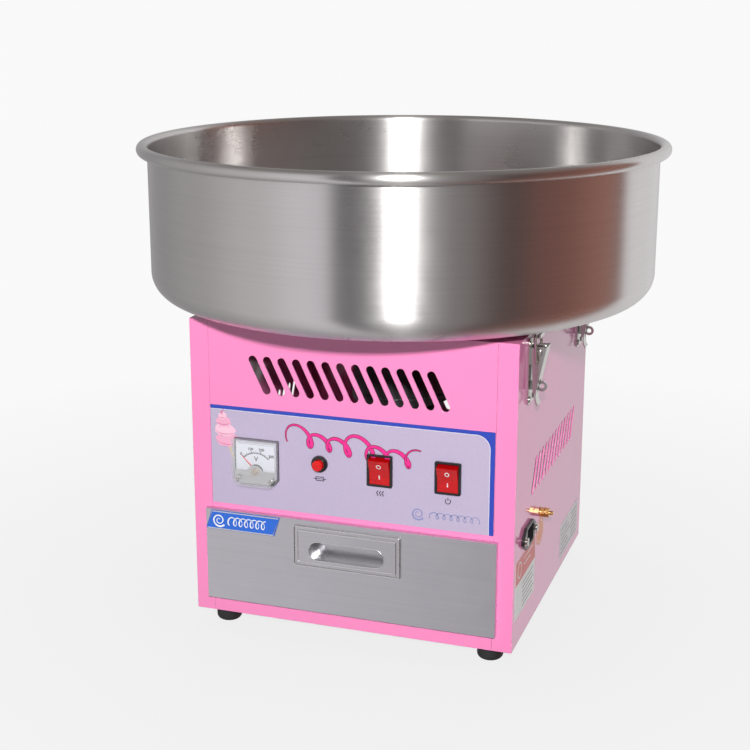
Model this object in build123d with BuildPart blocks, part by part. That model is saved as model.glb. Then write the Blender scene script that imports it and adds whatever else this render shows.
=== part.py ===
"""Table-top cotton candy machine.

A square sheet-metal cabinet stands on four rubber feet. It holds a catch drawer, the controls and a
motor. A stainless bowl sits on the cabinet and is held down by four toggle latches. The spinner head
turns in the middle of the bowl. Millimetres, +Z up, +X to the user's right, the front faces -Y. The
origin is on the table, under the middle of the cabinet.
"""

from build123d import *
import math
import os

# ---------------------------------------------------------------- driving dimensions

# cabinet
foot_height = 16.0
foot_radius = 12.5
foot_rounding = 5.0
foot_recess_radius = 5.0
foot_recess_depth = 8.0
foot_inset_x = 25.0
foot_inset_y = 20.0
body_width = 320.0
body_depth = 320.0
body_height = 296.0
sheet = 1.2
seam = 0.2
pillar_width = 19.0
rear_flange = 12.0
tray_lip = 14.0
deck_flange = 5.4
deck_hole_radius = 30.0

# slanted ventilation slots
vent_count = 13
vent_width = 8.2
front_vent_pitch = 14.6
front_vent_height = 36.0
front_vent_lean = 17.2
front_vent_x = -1.0
front_vent_drop = 50.0
side_vent_pitch = 14.8
side_vent_height = 34.0
side_vent_lean = 18.0
side_vent_z = 166.0
side_vent_y = 6.0

# control panel
overlay_thickness = 0.3
overlay_inset = 0.4
overlay_bottom = 130.0
overlay_top = 229.0
meter_x = -92.7
meter_z = 176.0
breaker_x = -28.6
heat_switch_x = 31.2
power_switch_x = 96.9
control_z = 181.0

# voltmeter
meter_size = 45.4
meter_flange = 2.0
meter_cover_depth = 8.0
meter_wall = 1.4
meter_barrel_radius = 18.5
meter_barrel_depth = 24.0
meter_corner_cut = 6.0
meter_pivot_drop = 8.0
needle_length = 20.0
needle_zero_angle = 135.0

meter_screw_drop = 15.5
meter_screw_spacing = 34.0
meter_screw_radius = 1.0
dial_thickness = 0.5
movement_radius = 14.0
movement_boss_radius = 3.4
staff_radius = 0.8
needle_level = 3.8
needle_thickness = 0.5
needle_width = 0.9
needle_tail = 4.0
panel_hole_clearance = 0.3

# breaker
collar_radius = 8.2
collar_height = 4.4
breaker_barrel_radius = 6.2
breaker_block_front = 4.0
breaker_block_width = 14.0
breaker_block_height = 28.0
breaker_block_depth = 28.0
button_bore_depth = 12.0
sliding_fit = 0.1
button_radius = 5.1
button_proud = 4.5
button_travel = 2.5

# rocker switches
bezel_width = 25.0
bezel_height = 31.0
bezel_proud = 2.2
bezel_rounding = 1.5
switch_depth = 24.0
switch_body_width = 22.6
switch_body_height = 28.6
switch_hole_width = 23.0
switch_hole_height = 29.0
pocket_width = 20.4
pocket_height = 27.4
pocket_depth = 10.0
rocker_width = 19.6
rocker_height = 24.4
rocker_tilt = 12.0
rocker_pivot_depth = 2.0
rocker_front = 7.0
rocker_back = 3.0
rocker_dish = 1.8
trunnion_radius = 1.2
trunnion_length = 0.8

# drawer
drawer_top = 124.8
drawer_bottom = 31.9
drawer_width = 290.4
drawer_proud = 6.4
drawer_front_gap = 0.4
drawer_box_width = 254.0
drawer_box_top = 112.0
drawer_box_bottom = 34.6
drawer_box_depth = 250.0
drawer_wall = 1.0
window_clearance = 2.8
window_top = 122.5
pull_width = 107.0
pull_height = 41.0
pull_bottom = 78.3
pull_proud = 2.0
pull_slot_width = 75.0
pull_slot_height = 18.0
pull_slot_z = 95.5
pull_cup_depth = 14.0
pull_cup_margin = 4.0
badge_height = 19.3
badge_length = 71.4
badge_lean = 6.0
badge_thickness = 0.8

# drawer bay
bay_clearance = 4.2
bay_top = 125.1
bay_depth = 268.0
bay_lap = 0.2
rail_width = 10.0
rail_height = 14.0

drawer_return = 30.0
pull_rim = 1.2
pull_step = 4.0
pull_clearance = 1.0
window_flange = 10.0

# bowl
bowl_radius = 260.0
bowl_gap = 8.5
bowl_height = 149.4
bowl_sheet = 0.8
bowl_corner = 24.5
bowl_collar = 8.0
rim_roll = 5.6
rim_roll_sweep = 300.0
bowl_hole_radius = 62.0
seat_radius = 148.0
seat_width = 10.0

# latches
latch_y = 114.0
base_half_width = 13.0
base_thickness = 1.5
base_low_drop = 65.0
base_high_drop = 4.0
ear_thickness = 1.2
ear_outer = 7.8
pivot_u = 9.5
pivot_drop = 16.0
pivot_pin_radius = 2.0
ear_radius = 3.9
lever_outer = 9.0
lever_sheet = 1.0
bail_u = 8.0
bail_drop = 25.5
hook_u = 6.2
hook_rise = 0.2
wire_radius = 1.3
leg_y = 12.0
eye_u = 11.2
eye_drop = 49.0
eye_radius = 4.9
eye_hole_radius = 2.4
eye_half_thickness = 0.8
rivet_radius = 1.6
rivet_head_radius = 3.2
rivet_head = 1.2
rivet_inset = 4.4
bail_end_y = 8.1
wire_end_bend = 2.2
wire_hook_bend = 3.0
lever_top_u = 16.3
lever_top_drop = 10.5
lever_low_u = 7.2
lever_low_drop = 54.5
lever_inner_u = 5.2
lever_tip_u = 9.2
lever_tip_drop = 66.0
lever_tip_half_width = 6.5
keeper_half_width = 8.0
keeper_reach = 20.0
keeper_back_u = 3.0
keeper_floor_drop = 1.7
keeper_lip_u = 9.1
keeper_lip_rise = 0.8

# mains inlet and bonding stud, on the right-hand side
inlet_y = -106.0
inlet_z = 114.7
inlet_screw_spacing = 40.0
inlet_flange = 3.0
inlet_body_depth = 22.0
inlet_body_width = 27.0
inlet_body_height = 19.5
inlet_ear_radius = 5.5
socket_width = 24.6
socket_height = 16.8
socket_depth = 17.0
pin_width = 2.0
pin_height = 4.0
pin_tail = 6.0
pin_setback = 5.0
stud_y = -52.2
stud_z = 117.9
stud_radius = 2.5
stud_tip_radius = 2.0
stud_length = 13.0
stud_inner_length = 10.0
nut_across_flats = 8.0
nut_height = 3.6
washer_radius = 5.0
washer_height = 1.0
nut_seam = 0.05

# motor and spinner
motor_radius = 48.0
bell_overhang = 2.0
bell_height = 8.0
motor_bottom_drop = 104.0
motor_top_drop = 16.0
mount_clearance = 12.0
mount_radius = 9.0
shaft_radius = 6.0
running_fit = 0.05
bearing_radius = 14.0
bearing_width = 9.0
shaft_bottom_drop = 144.0
slip_ring_radius = 16.0
slip_ring_width = 8.0
slip_hub_radius = 11.0
brush_gap = 0.3
head_radius = 56.0
head_bottom_rise = 15.0
head_base_thickness = 4.0
band_height = 42.0
band_sheet = 1.2
band_slots = 48
heater_inner = 43.0
heater_outer = 50.0
heater_height = 24.0
cap_thickness = 3.0
cap_opening_radius = 20.0
cap_funnel_height = 14.0

cap_skirt = 4.0
cap_skirt_gap = 0.3
cap_flare = 4.0
hub_radius = 11.0
hub_drop = 4.0
hub_height = 18.0
shaft_end = 4.0
band_slot_width = 2.4
band_slot_height = 30.0
motor_bore_radius = 8.0
ear_height = 4.0
holder_setback = 6.0
holder_length = 20.0
holder_width = 16.0
brush_width = 6.0
brush_length = 20.0

# screws
screw_radius = 2.0
screw_head_radius = 4.0
screw_head_height = 2.6

screw_hole_radius = 2.05
case_screw_length = 10.0

# terminal block and leads
block_x = 86.0
block_y = -40.0
block_length = 62.0
block_width = 22.0
block_height = 18.0
block_pitch = 15.0
block_rib = 3.0
lead_radius = 1.4

# ---------------------------------------------------------------- derived places

body_bottom = foot_height
body_top = foot_height + body_height
base_low = body_top - base_low_drop
base_high = body_top - base_high_drop
pivot_z = body_top - pivot_drop
bail_z = body_top - bail_drop
eye_z = body_top - eye_drop
lever_top_z = body_top - lever_top_drop
lever_low_z = body_top - lever_low_drop
lever_tip_z = body_top - lever_tip_drop
keeper_floor = body_top - keeper_floor_drop
motor_bottom = body_top - motor_bottom_drop
motor_top = body_top - motor_top_drop
shaft_bottom = body_top - shaft_bottom_drop
front_vent_z = body_top - front_vent_drop
hook_z = body_top + hook_rise
keeper_lip_z = body_top + keeper_lip_rise
head_bottom = body_top + head_bottom_rise
bay_half_width = drawer_box_width / 2 + bay_clearance
bell_radius = motor_radius + bell_overhang
mount_circle_radius = motor_radius + mount_clearance
half_width = body_width / 2
bay_flange = half_width - pillar_width + bay_lap - bay_half_width
half_depth = body_depth / 2
inner_width = half_width - sheet - seam
rear_flange_face = half_depth - 2 * sheet - seam
inner_rear = rear_flange_face - seam
inner_front = -half_depth + sheet + seam
front_half_width = half_width - pillar_width - seam
cabinet_middle = (inner_front + inner_rear) / 2
cabinet_length = inner_rear - inner_front
front_bottom = body_bottom + tray_lip + seam
foot_x = half_width - foot_inset_x
foot_y = half_depth - foot_inset_y
window_half_width = drawer_box_width / 2 + window_clearance
bowl_bottom = body_top + bowl_gap
rim_centre_radius = bowl_radius - rim_roll
bowl_inner_radius = rim_centre_radius - rim_roll
bowl_outer_radius = bowl_inner_radius + bowl_sheet
rim_centre_z = bowl_bottom + bowl_height - rim_roll
control_face = -half_depth - overlay_thickness
rear_screw_x = half_width - rear_flange / 2 - sheet
rear_screw_heights = [body_bottom + 24, body_bottom + 104, body_bottom + 184, body_top - 22]
rocker_pivot_y = -half_depth + rocker_pivot_depth
needle_pivot_z = meter_z - meter_pivot_drop
drawer_face = -half_depth - drawer_proud
drawer_back_of_front = -half_depth - drawer_front_gap
drawer_box_front = drawer_back_of_front
drawer_middle = (drawer_top + drawer_bottom) / 2
drawer_height = drawer_top - drawer_bottom
pull_cup_width = pull_slot_width + 2 * pull_cup_margin
pull_cup_height = pull_slot_height + 2 * pull_cup_margin
badge_left = -drawer_width / 2
badge_top = drawer_top - 0.9
rail_level = drawer_box_bottom - seam - sheet
meter_front = meter_flange + meter_cover_depth
bowl_corner_centre = (bowl_outer_radius - bowl_corner, bowl_bottom + bowl_corner)
band_bottom = head_bottom + head_base_thickness
head_top = band_bottom + band_height
hub_top = head_bottom + hub_height
nut_pitch = washer_height + nut_height + 2 * nut_seam
washer_levels = [0, nut_pitch]
nut_levels = [-sheet - nut_height, washer_height + nut_seam, nut_pitch + washer_height + nut_seam]
nut_stack = nut_levels[-1] + nut_height
brush_levels = [shaft_bottom + 10, shaft_bottom + 28]
holder_end = slip_ring_radius + holder_setback + holder_length
pin_points = [(-7, -2), (7, -2), (0, 2)]
latch_rivet_points = [
    (along * (base_half_width - rivet_inset), height)
    for along in (-1, 1)
    for height in (base_low + rivet_inset, base_high - rivet_inset)
]
breaker_section = Plane(origin=(breaker_x, control_face, control_z), x_dir=(1, 0, 0), z_dir=(0, 0, -1))
breaker_axis = Axis((breaker_x, control_face, control_z), (0, -1, 0))
needle_direction = math.radians(needle_zero_angle)
needle_plane = Plane(
    origin=(meter_x, control_face - needle_level, needle_pivot_z),
    x_dir=(math.cos(needle_direction), 0, math.sin(needle_direction)),
    z_dir=(0, -1, 0),
)

control_plane = Plane(origin=(0, control_face, 0), x_dir=(1, 0, 0), z_dir=(0, -1, 0))
front_plane = Plane(origin=(0, -half_depth, 0), x_dir=(1, 0, 0), z_dir=(0, -1, 0))
drawer_plane = Plane(origin=(0, drawer_face, 0), x_dir=(1, 0, 0), z_dir=(0, -1, 0))
rear_plane = Plane(origin=(0, half_depth, 0), x_dir=(-1, 0, 0), z_dir=(0, 1, 0))

os.makedirs("parts", exist_ok=True)


def side_plane(side):
    """The outer face of a side panel: side is 1 for the right, -1 for the left."""
    return Plane(origin=(side * half_width, 0, 0), x_dir=(0, side, 0), z_dir=(side, 0, 0))


def vent_slots(pitch, height, lean, centre_x, centre_z, mode=Mode.SUBTRACT):
    """Draw a row of slanted slots whose tops lean by lean towards local +X."""
    length = math.hypot(height, lean)
    angle = math.degrees(math.atan2(height, lean))
    with Locations((centre_x, centre_z)):
        with GridLocations(pitch, 0, vent_count, 1):
            SlotOverall(length, vent_width, rotation=angle, mode=mode)


def ring(outer_radius, inner_radius):
    """Draw a flat ring in the current sketch."""
    Circle(outer_radius)
    Circle(inner_radius, mode=Mode.SUBTRACT)


# ---------------------------------------------------------------- cabinet

with BuildPart() as base_tray:
    with BuildSketch(Plane.XY.offset(body_bottom)):
        with Locations((0, cabinet_middle)):
            Rectangle(2 * inner_width, cabinet_length)
        with Locations((0, -half_depth + sheet)):
            Rectangle(2 * front_half_width, 2 * sheet)
        with GridLocations(2 * foot_x, 2 * foot_y, 2, 2):
            Circle(screw_hole_radius, mode=Mode.SUBTRACT)
    extrude(amount=sheet)
    with BuildSketch(Plane.XY.offset(body_bottom)):
        with Locations((0, -half_depth + sheet / 2)):
            Rectangle(2 * front_half_width, sheet)
        with Locations((0, inner_rear - sheet / 2)):
            Rectangle(2 * inner_width, sheet)
        with Locations((0, cabinet_middle)):
            with GridLocations(2 * inner_width - sheet, 0, 2, 1):
                Rectangle(sheet, cabinet_length)
    extrude(amount=tray_lip)
base_tray.part.label = "base_tray"
export_step(base_tray.part, "parts/base_tray.step")


def side_panel(side):
    """One side wall: a channel with the front pillar and the rear flange, vents and latch holes."""
    with BuildPart() as panel:
        with BuildSketch(Plane.XY.offset(body_bottom)):
            with Locations((side * (half_width - sheet / 2), -(sheet + seam) / 2)):
                Rectangle(sheet, body_depth - sheet - seam)
            with Locations((side * (half_width - pillar_width / 2), -half_depth + sheet / 2)):
                Rectangle(pillar_width, sheet)
            with Locations((side * (half_width - rear_flange / 2), rear_flange_face + sheet / 2)):
                Rectangle(rear_flange, sheet)
        extrude(amount=body_height)
        with BuildSketch(side_plane(side)):
            vent_slots(
                side_vent_pitch,
                side_vent_height,
                side * side_vent_lean,
                side * side_vent_y,
                side_vent_z,
                Mode.ADD,
            )
            with Locations((-latch_y, 0), (latch_y, 0)):
                with Locations(*latch_rivet_points):
                    Circle(rivet_radius)
            if side == 1:
                with Locations((inlet_y, inlet_z)):
                    Rectangle(inlet_body_width + 1, inlet_body_height + 1)
                    with GridLocations(inlet_screw_spacing, 0, 2, 1):
                        Circle(screw_hole_radius)
                with Locations((stud_y, stud_z)):
                    Circle(stud_radius)
        extrude(amount=-sheet, mode=Mode.SUBTRACT)
        with BuildSketch(rear_plane):
            with Locations(*[(-side * rear_screw_x, height) for height in rear_screw_heights]):
                Circle(screw_hole_radius)
        extrude(amount=-3 * sheet, mode=Mode.SUBTRACT)
    return panel


right_side_panel = side_panel(1)
right_side_panel.part.label = "right_side_panel"
export_step(right_side_panel.part, "parts/right_side_panel.step")

left_side_panel = side_panel(-1)
left_side_panel.part.label = "left_side_panel"
export_step(left_side_panel.part, "parts/left_side_panel.step")

with BuildPart() as rear_panel:
    with BuildSketch(rear_plane):
        with Locations((0, body_bottom + body_height / 2)):
            Rectangle(body_width, body_height)
        vent_slots(front_vent_pitch, front_vent_height, front_vent_lean, 0, front_vent_z)
        vent_slots(front_vent_pitch, front_vent_height, front_vent_lean, 0, side_vent_z)
        with Locations(*[(side * rear_screw_x, z) for side in (-1, 1) for z in rear_screw_heights]):
            Circle(screw_hole_radius, mode=Mode.SUBTRACT)
    extrude(amount=-sheet)
rear_panel.part.label = "rear_panel"
export_step(rear_panel.part, "parts/rear_panel.step")

with BuildPart() as front_panel:
    with BuildSketch(front_plane):
        with Locations((0, (front_bottom + body_top) / 2)):
            Rectangle(2 * front_half_width, body_top - front_bottom)
        with Locations((0, (front_bottom + window_top) / 2)):
            Rectangle(2 * window_half_width, window_top - front_bottom, mode=Mode.SUBTRACT)
        vent_slots(front_vent_pitch, front_vent_height, -front_vent_lean, front_vent_x, front_vent_z)
        with Locations((meter_x, meter_z)):
            Circle(meter_barrel_radius + panel_hole_clearance, mode=Mode.SUBTRACT)
        with Locations((breaker_x, control_z)):
            Circle(breaker_barrel_radius + panel_hole_clearance, mode=Mode.SUBTRACT)
        with Locations((heat_switch_x, control_z), (power_switch_x, control_z)):
            Rectangle(switch_hole_width, switch_hole_height, mode=Mode.SUBTRACT)
    extrude(amount=-sheet)
    with BuildSketch(Plane.XY.offset(window_top)):
        with Locations((0, -half_depth + window_flange / 2)):
            Rectangle(2 * window_half_width, window_flange)
    extrude(amount=sheet)
front_panel.part.label = "front_panel"
export_step(front_panel.part, "parts/front_panel.step")

with BuildPart() as control_overlay:
    with BuildSketch(front_plane):
        with Locations((0, (overlay_bottom + overlay_top) / 2)):
            Rectangle(2 * (front_half_width - overlay_inset), overlay_top - overlay_bottom)
        with Locations((meter_x, meter_z)):
            Circle(meter_barrel_radius + panel_hole_clearance, mode=Mode.SUBTRACT)
        with Locations((breaker_x, control_z)):
            Circle(breaker_barrel_radius + panel_hole_clearance, mode=Mode.SUBTRACT)
        with Locations((heat_switch_x, control_z), (power_switch_x, control_z)):
            Rectangle(switch_hole_width, switch_hole_height, mode=Mode.SUBTRACT)
    extrude(amount=overlay_thickness)
control_overlay.part.label = "control_overlay"
export_step(control_overlay.part, "parts/control_overlay.step")

with BuildPart() as top_deck:
    with BuildSketch(Plane.XY.offset(body_top - sheet)):
        with Locations((0, cabinet_middle)):
            Rectangle(2 * inner_width, cabinet_length)
        Circle(deck_hole_radius, mode=Mode.SUBTRACT)
        with PolarLocations(mount_circle_radius, 4, start_angle=45):
            Circle(screw_hole_radius, mode=Mode.SUBTRACT)
    extrude(amount=sheet)
    with BuildSketch(Plane.XY.offset(body_top - deck_flange)):
        with Locations((0, cabinet_middle)):
            Rectangle(2 * inner_width, cabinet_length)
            Rectangle(2 * (inner_width - sheet), cabinet_length - 2 * sheet, mode=Mode.SUBTRACT)
    extrude(amount=deck_flange - sheet)
top_deck.part.label = "top_deck"
export_step(top_deck.part, "parts/top_deck.step")

with BuildPart() as rubber_foot:
    with BuildSketch(Plane.XZ):
        with BuildLine():
            Polyline(
                (foot_radius - foot_rounding, 0),
                (foot_recess_radius, 0),
                (foot_recess_radius, foot_recess_depth),
                (screw_hole_radius, foot_recess_depth),
                (screw_hole_radius, foot_height),
                (foot_radius, foot_height),
                (foot_radius, foot_rounding),
            )
            CenterArc((foot_radius - foot_rounding, foot_rounding), foot_rounding, -90, 90)
        make_face()
    revolve(axis=Axis.Z)

with BuildPart() as rubber_feet:
    with GridLocations(2 * foot_x, 2 * foot_y, 2, 2):
        add(rubber_foot.part)
rubber_feet.part.label = "rubber_feet"
export_step(rubber_feet.part, "parts/rubber_feet.step")

# ---------------------------------------------------------------- voltmeter


def meter_outline(size):
    """Draw the meter's square with its two lower corners cut off."""
    with BuildSketch(mode=Mode.PRIVATE) as outline:
        Rectangle(size, size)
        chamfer(outline.vertices().group_by(Axis.Y)[0], length=meter_corner_cut)
    with Locations((meter_x, meter_z)):
        add(outline.sketch)


with BuildPart() as meter_case:
    with BuildSketch(control_plane):
        meter_outline(meter_size)
    extrude(amount=meter_flange)
    with BuildSketch(control_plane):
        with Locations((meter_x, meter_z)):
            Circle(meter_barrel_radius)
    extrude(amount=-meter_barrel_depth)
    with BuildSketch(control_plane.offset(meter_flange)):
        with Locations((meter_x, meter_z)):
            Circle(meter_barrel_radius - meter_wall)
    extrude(amount=meter_wall - meter_barrel_depth - meter_flange, mode=Mode.SUBTRACT)
meter_case.part.label = "meter_case"
export_step(meter_case.part, "parts/meter_case.step")

with BuildPart() as meter_cover:
    with BuildSketch(control_plane.offset(meter_flange)):
        meter_outline(meter_size)
    extrude(amount=meter_cover_depth)
    with BuildSketch(control_plane.offset(meter_flange)):
        meter_outline(meter_size - 2 * meter_wall)
    extrude(amount=meter_cover_depth - meter_wall, mode=Mode.SUBTRACT)
    with BuildSketch(control_plane.offset(meter_front)):
        with Locations((meter_x, meter_z - meter_screw_drop)):
            with GridLocations(meter_screw_spacing, 0, 2, 1):
                Circle(meter_screw_radius)
    extrude(amount=-meter_wall, mode=Mode.SUBTRACT)
meter_cover.part.label = "meter_cover"
export_step(meter_cover.part, "parts/meter_cover.step")

with BuildPart() as meter_dial:
    with BuildSketch(control_plane.offset(meter_flange)):
        meter_outline(meter_size - 2 * meter_wall - 1)
        with Locations((meter_x, needle_pivot_z)):
            Circle(movement_boss_radius + panel_hole_clearance, mode=Mode.SUBTRACT)
    extrude(amount=dial_thickness)
meter_dial.part.label = "meter_dial"
export_step(meter_dial.part, "parts/meter_dial.step")

with BuildPart() as meter_movement:
    with BuildSketch(control_plane.offset(meter_wall - meter_barrel_depth)):
        with Locations((meter_x, meter_z)):
            Circle(movement_radius)
    extrude(amount=meter_barrel_depth)
    with BuildSketch(control_plane):
        with Locations((meter_x, needle_pivot_z)):
            Circle(movement_boss_radius)
    extrude(amount=needle_level - 0.3)
    with BuildSketch(control_plane):
        with Locations((meter_x, needle_pivot_z)):
            Circle(staff_radius)
    extrude(amount=needle_level + 2)
meter_movement.part.label = "meter_movement"
export_step(meter_movement.part, "parts/meter_movement.step")

with BuildPart() as meter_needle:
    with BuildSketch(needle_plane):
        with BuildLine():
            Polyline(
                (-needle_tail, needle_width),
                (-needle_tail, -needle_width),
                (needle_length, -needle_width / 4),
                (needle_length, needle_width / 4),
                close=True,
            )
        make_face()
        Circle(2 * staff_radius + 1)
        Circle(staff_radius + running_fit, mode=Mode.SUBTRACT)
    extrude(amount=needle_thickness)
meter_needle.part.label = "meter_needle"
export_step(meter_needle.part, "parts/meter_needle.step")

# ---------------------------------------------------------------- breaker

with BuildPart() as breaker_body:
    with BuildSketch(control_plane.offset(-breaker_block_front)):
        with Locations((breaker_x, control_z)):
            Rectangle(breaker_block_width, breaker_block_height)
    extrude(amount=-breaker_block_depth)
    with BuildSketch(control_plane.offset(collar_height - 1)):
        with Locations((breaker_x, control_z)):
            Circle(breaker_barrel_radius)
    extrude(amount=1 - collar_height - breaker_block_front)
    with BuildSketch(control_plane.offset(collar_height - 1)):
        with Locations((breaker_x, control_z)):
            Circle(button_radius + sliding_fit)
    extrude(amount=1 - collar_height - button_bore_depth, mode=Mode.SUBTRACT)
breaker_body.part.label = "breaker_body"
export_step(breaker_body.part, "parts/breaker_body.step")

with BuildPart() as breaker_nut:
    with BuildSketch(breaker_section):
        with BuildLine():
            Polyline(
                (collar_radius, 1.6),
                (collar_radius, 0),
                (breaker_barrel_radius, 0),
                (breaker_barrel_radius, collar_height),
            )
            RadiusArc((breaker_barrel_radius, collar_height), (collar_radius, 1.6), collar_height)
        make_face()
    revolve(axis=breaker_axis)
breaker_nut.part.label = "breaker_nut"
export_step(breaker_nut.part, "parts/breaker_nut.step")

with BuildPart() as breaker_button:
    with BuildSketch(control_plane.offset(button_travel + 1 - button_bore_depth)):
        with Locations((breaker_x, control_z)):
            Circle(button_radius)
    extrude(amount=button_bore_depth - button_travel - 1 + collar_height + button_proud)
    fillet(breaker_button.edges().group_by(Axis.Y)[0], radius=1.2)
breaker_button.part.label = "breaker_button"
export_step(breaker_button.part, "parts/breaker_button.step")

# ---------------------------------------------------------------- rocker switches


def switch_body(centre_x):
    """The black housing: a bezel on the overlay and a body with a pocket for the rocker."""
    with BuildPart() as housing:
        with BuildSketch(control_plane):
            with Locations((centre_x, control_z)):
                RectangleRounded(bezel_width, bezel_height, bezel_rounding)
        extrude(amount=bezel_proud)
        with BuildSketch(control_plane):
            with Locations((centre_x, control_z)):
                Rectangle(switch_body_width, switch_body_height)
        extrude(amount=-switch_depth)
        with BuildSketch(control_plane.offset(bezel_proud)):
            with Locations((centre_x, control_z)):
                Rectangle(pocket_width, pocket_height)
        extrude(amount=-bezel_proud - pocket_depth, mode=Mode.SUBTRACT)
        with BuildSketch(Plane.YZ.offset(centre_x)):
            with Locations((rocker_pivot_y, control_z)):
                Circle(trunnion_radius + running_fit)
        extrude(amount=switch_body_width, both=True, mode=Mode.SUBTRACT)
    return housing


def switch_rocker(centre_x):
    """The rocker, tilted with its upper end out, on two trunnions in the housing."""
    rest = Plane(origin=(centre_x, rocker_pivot_y, control_z), x_dir=(0, -1, 0), z_dir=(-1, 0, 0))
    tilted = rest.rotated((rocker_tilt, 0, 0))
    half_height = rocker_height / 2
    with BuildPart() as rocker:
        with BuildSketch(tilted):
            with BuildLine():
                Polyline(
                    (rocker_front, half_height),
                    (-rocker_back, half_height),
                    (-rocker_back, -half_height),
                    (rocker_front, -half_height),
                )
                ThreePointArc(
                    (rocker_front, -half_height),
                    (rocker_front - rocker_dish, 0),
                    (rocker_front, half_height),
                )
            make_face()
        extrude(amount=rocker_width / 2, both=True)
        with BuildSketch(tilted):
            Circle(trunnion_radius)
        extrude(amount=rocker_width / 2 + trunnion_length, both=True)
    return rocker


heat_switch_body = switch_body(heat_switch_x)
heat_switch_body.part.label = "heat_switch_body"
export_step(heat_switch_body.part, "parts/heat_switch_body.step")

power_switch_body = switch_body(power_switch_x)
power_switch_body.part.label = "power_switch_body"
export_step(power_switch_body.part, "parts/power_switch_body.step")

heat_switch_rocker = switch_rocker(heat_switch_x)
heat_switch_rocker.part.label = "heat_switch_rocker"
export_step(heat_switch_rocker.part, "parts/heat_switch_rocker.step")

power_switch_rocker = switch_rocker(power_switch_x)
power_switch_rocker.part.label = "power_switch_rocker"
export_step(power_switch_rocker.part, "parts/power_switch_rocker.step")

# ---------------------------------------------------------------- drawer and its bay

with BuildPart() as drawer_front:
    with BuildSketch(drawer_plane):
        with Locations((0, drawer_middle)):
            Rectangle(drawer_width, drawer_height)
    extrude(amount=drawer_front_gap - drawer_proud)
    with BuildSketch(drawer_plane.offset(-sheet)):
        with Locations((0, drawer_middle)):
            Rectangle(drawer_width - 2 * sheet, drawer_height - 2 * sheet)
    extrude(amount=drawer_front_gap - drawer_proud + 2 * sheet, mode=Mode.SUBTRACT)
    with BuildSketch(drawer_plane.offset(-sheet)):
        with Locations((0, drawer_middle)):
            Rectangle(drawer_width - 2 * drawer_return, drawer_height - 2 * drawer_return)
    extrude(amount=-drawer_proud, mode=Mode.SUBTRACT)
    with BuildSketch(drawer_plane):
        with Locations((0, pull_slot_z)):
            SlotOverall(pull_cup_width + pull_clearance, pull_cup_height + pull_clearance)
    extrude(amount=-drawer_proud, mode=Mode.SUBTRACT)
drawer_front.part.label = "drawer_front"
export_step(drawer_front.part, "parts/drawer_front.step")

with BuildPart() as drawer_box:
    with BuildSketch(Plane.XY.offset(drawer_box_bottom)):
        with Locations((0, drawer_box_front + drawer_box_depth / 2)):
            Rectangle(drawer_box_width, drawer_box_depth)
    extrude(amount=drawer_box_top - drawer_box_bottom)
    with BuildSketch(Plane.XY.offset(drawer_box_bottom + drawer_wall)):
        with Locations((0, drawer_box_front + drawer_box_depth / 2)):
            Rectangle(drawer_box_width - 2 * drawer_wall, drawer_box_depth - 2 * drawer_wall)
    extrude(amount=drawer_box_top - drawer_box_bottom, mode=Mode.SUBTRACT)
    with BuildSketch(drawer_plane):
        with Locations((0, pull_slot_z)):
            SlotOverall(pull_cup_width + pull_clearance, pull_cup_height + pull_clearance)
    extrude(amount=-drawer_proud - 2 * drawer_wall, mode=Mode.SUBTRACT)
drawer_box.part.label = "drawer_box"
export_step(drawer_box.part, "parts/drawer_box.step")

with BuildPart() as drawer_pull:
    with BuildSketch(drawer_plane):
        with Locations((0, pull_bottom + pull_height / 2)):
            RectangleRounded(pull_width, pull_height, 1)
    extrude(amount=pull_rim)
    with BuildSketch(drawer_plane):
        with Locations((0, pull_bottom + pull_height / 2)):
            Rectangle(pull_width - 2 * pull_step, pull_height - 2 * pull_step)
    extrude(amount=pull_proud)
    with BuildSketch(drawer_plane):
        with Locations((0, pull_slot_z)):
            SlotOverall(pull_cup_width, pull_cup_height)
    extrude(amount=-pull_cup_depth)
    with BuildSketch(drawer_plane):
        with Locations((0, pull_slot_z)):
            SlotOverall(pull_cup_width - 2 * sheet, pull_cup_height - 2 * sheet)
    extrude(amount=sheet - pull_cup_depth, mode=Mode.SUBTRACT)
    with BuildSketch(drawer_plane.offset(pull_proud)):
        with Locations((0, pull_slot_z)):
            SlotOverall(pull_slot_width, pull_slot_height)
    extrude(amount=-pull_proud, mode=Mode.SUBTRACT)
drawer_pull.part.label = "drawer_pull"
export_step(drawer_pull.part, "parts/drawer_pull.step")

with BuildPart() as drawer_badge:
    with BuildSketch(drawer_plane):
        with BuildLine():
            Polyline(
                (badge_left, badge_top - badge_height),
                (badge_left + badge_lean, badge_top),
                (badge_left + badge_lean + badge_length, badge_top),
                (badge_left + badge_length, badge_top - badge_height),
                close=True,
            )
        make_face()
    extrude(amount=badge_thickness)
drawer_badge.part.label = "drawer_badge"
export_step(drawer_badge.part, "parts/drawer_badge.step")

with BuildPart() as drawer_bay:
    with BuildSketch(Plane.XY.offset(body_bottom + sheet)):
        with Locations((0, inner_front + bay_depth / 2)):
            Rectangle(2 * bay_half_width, bay_depth)
    extrude(amount=bay_top - body_bottom - sheet)
    with BuildSketch(Plane.XY.offset(body_bottom + sheet)):
        with Locations((0, inner_front + (bay_depth - sheet) / 2)):
            Rectangle(2 * (bay_half_width - sheet), bay_depth - sheet)
    extrude(amount=bay_top - body_bottom - 2 * sheet, mode=Mode.SUBTRACT)
    with BuildSketch(Plane.XY.offset(body_bottom + sheet)):
        with Locations((0, inner_front + bay_depth / 2)):
            with GridLocations(2 * bay_half_width + bay_flange, 0, 2, 1):
                Rectangle(bay_flange, bay_depth)
        with GridLocations(2 * foot_x, 2 * foot_y, 2, 2):
            Circle(screw_hole_radius, mode=Mode.SUBTRACT)
    extrude(amount=sheet)
drawer_bay.part.label = "drawer_bay"
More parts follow.
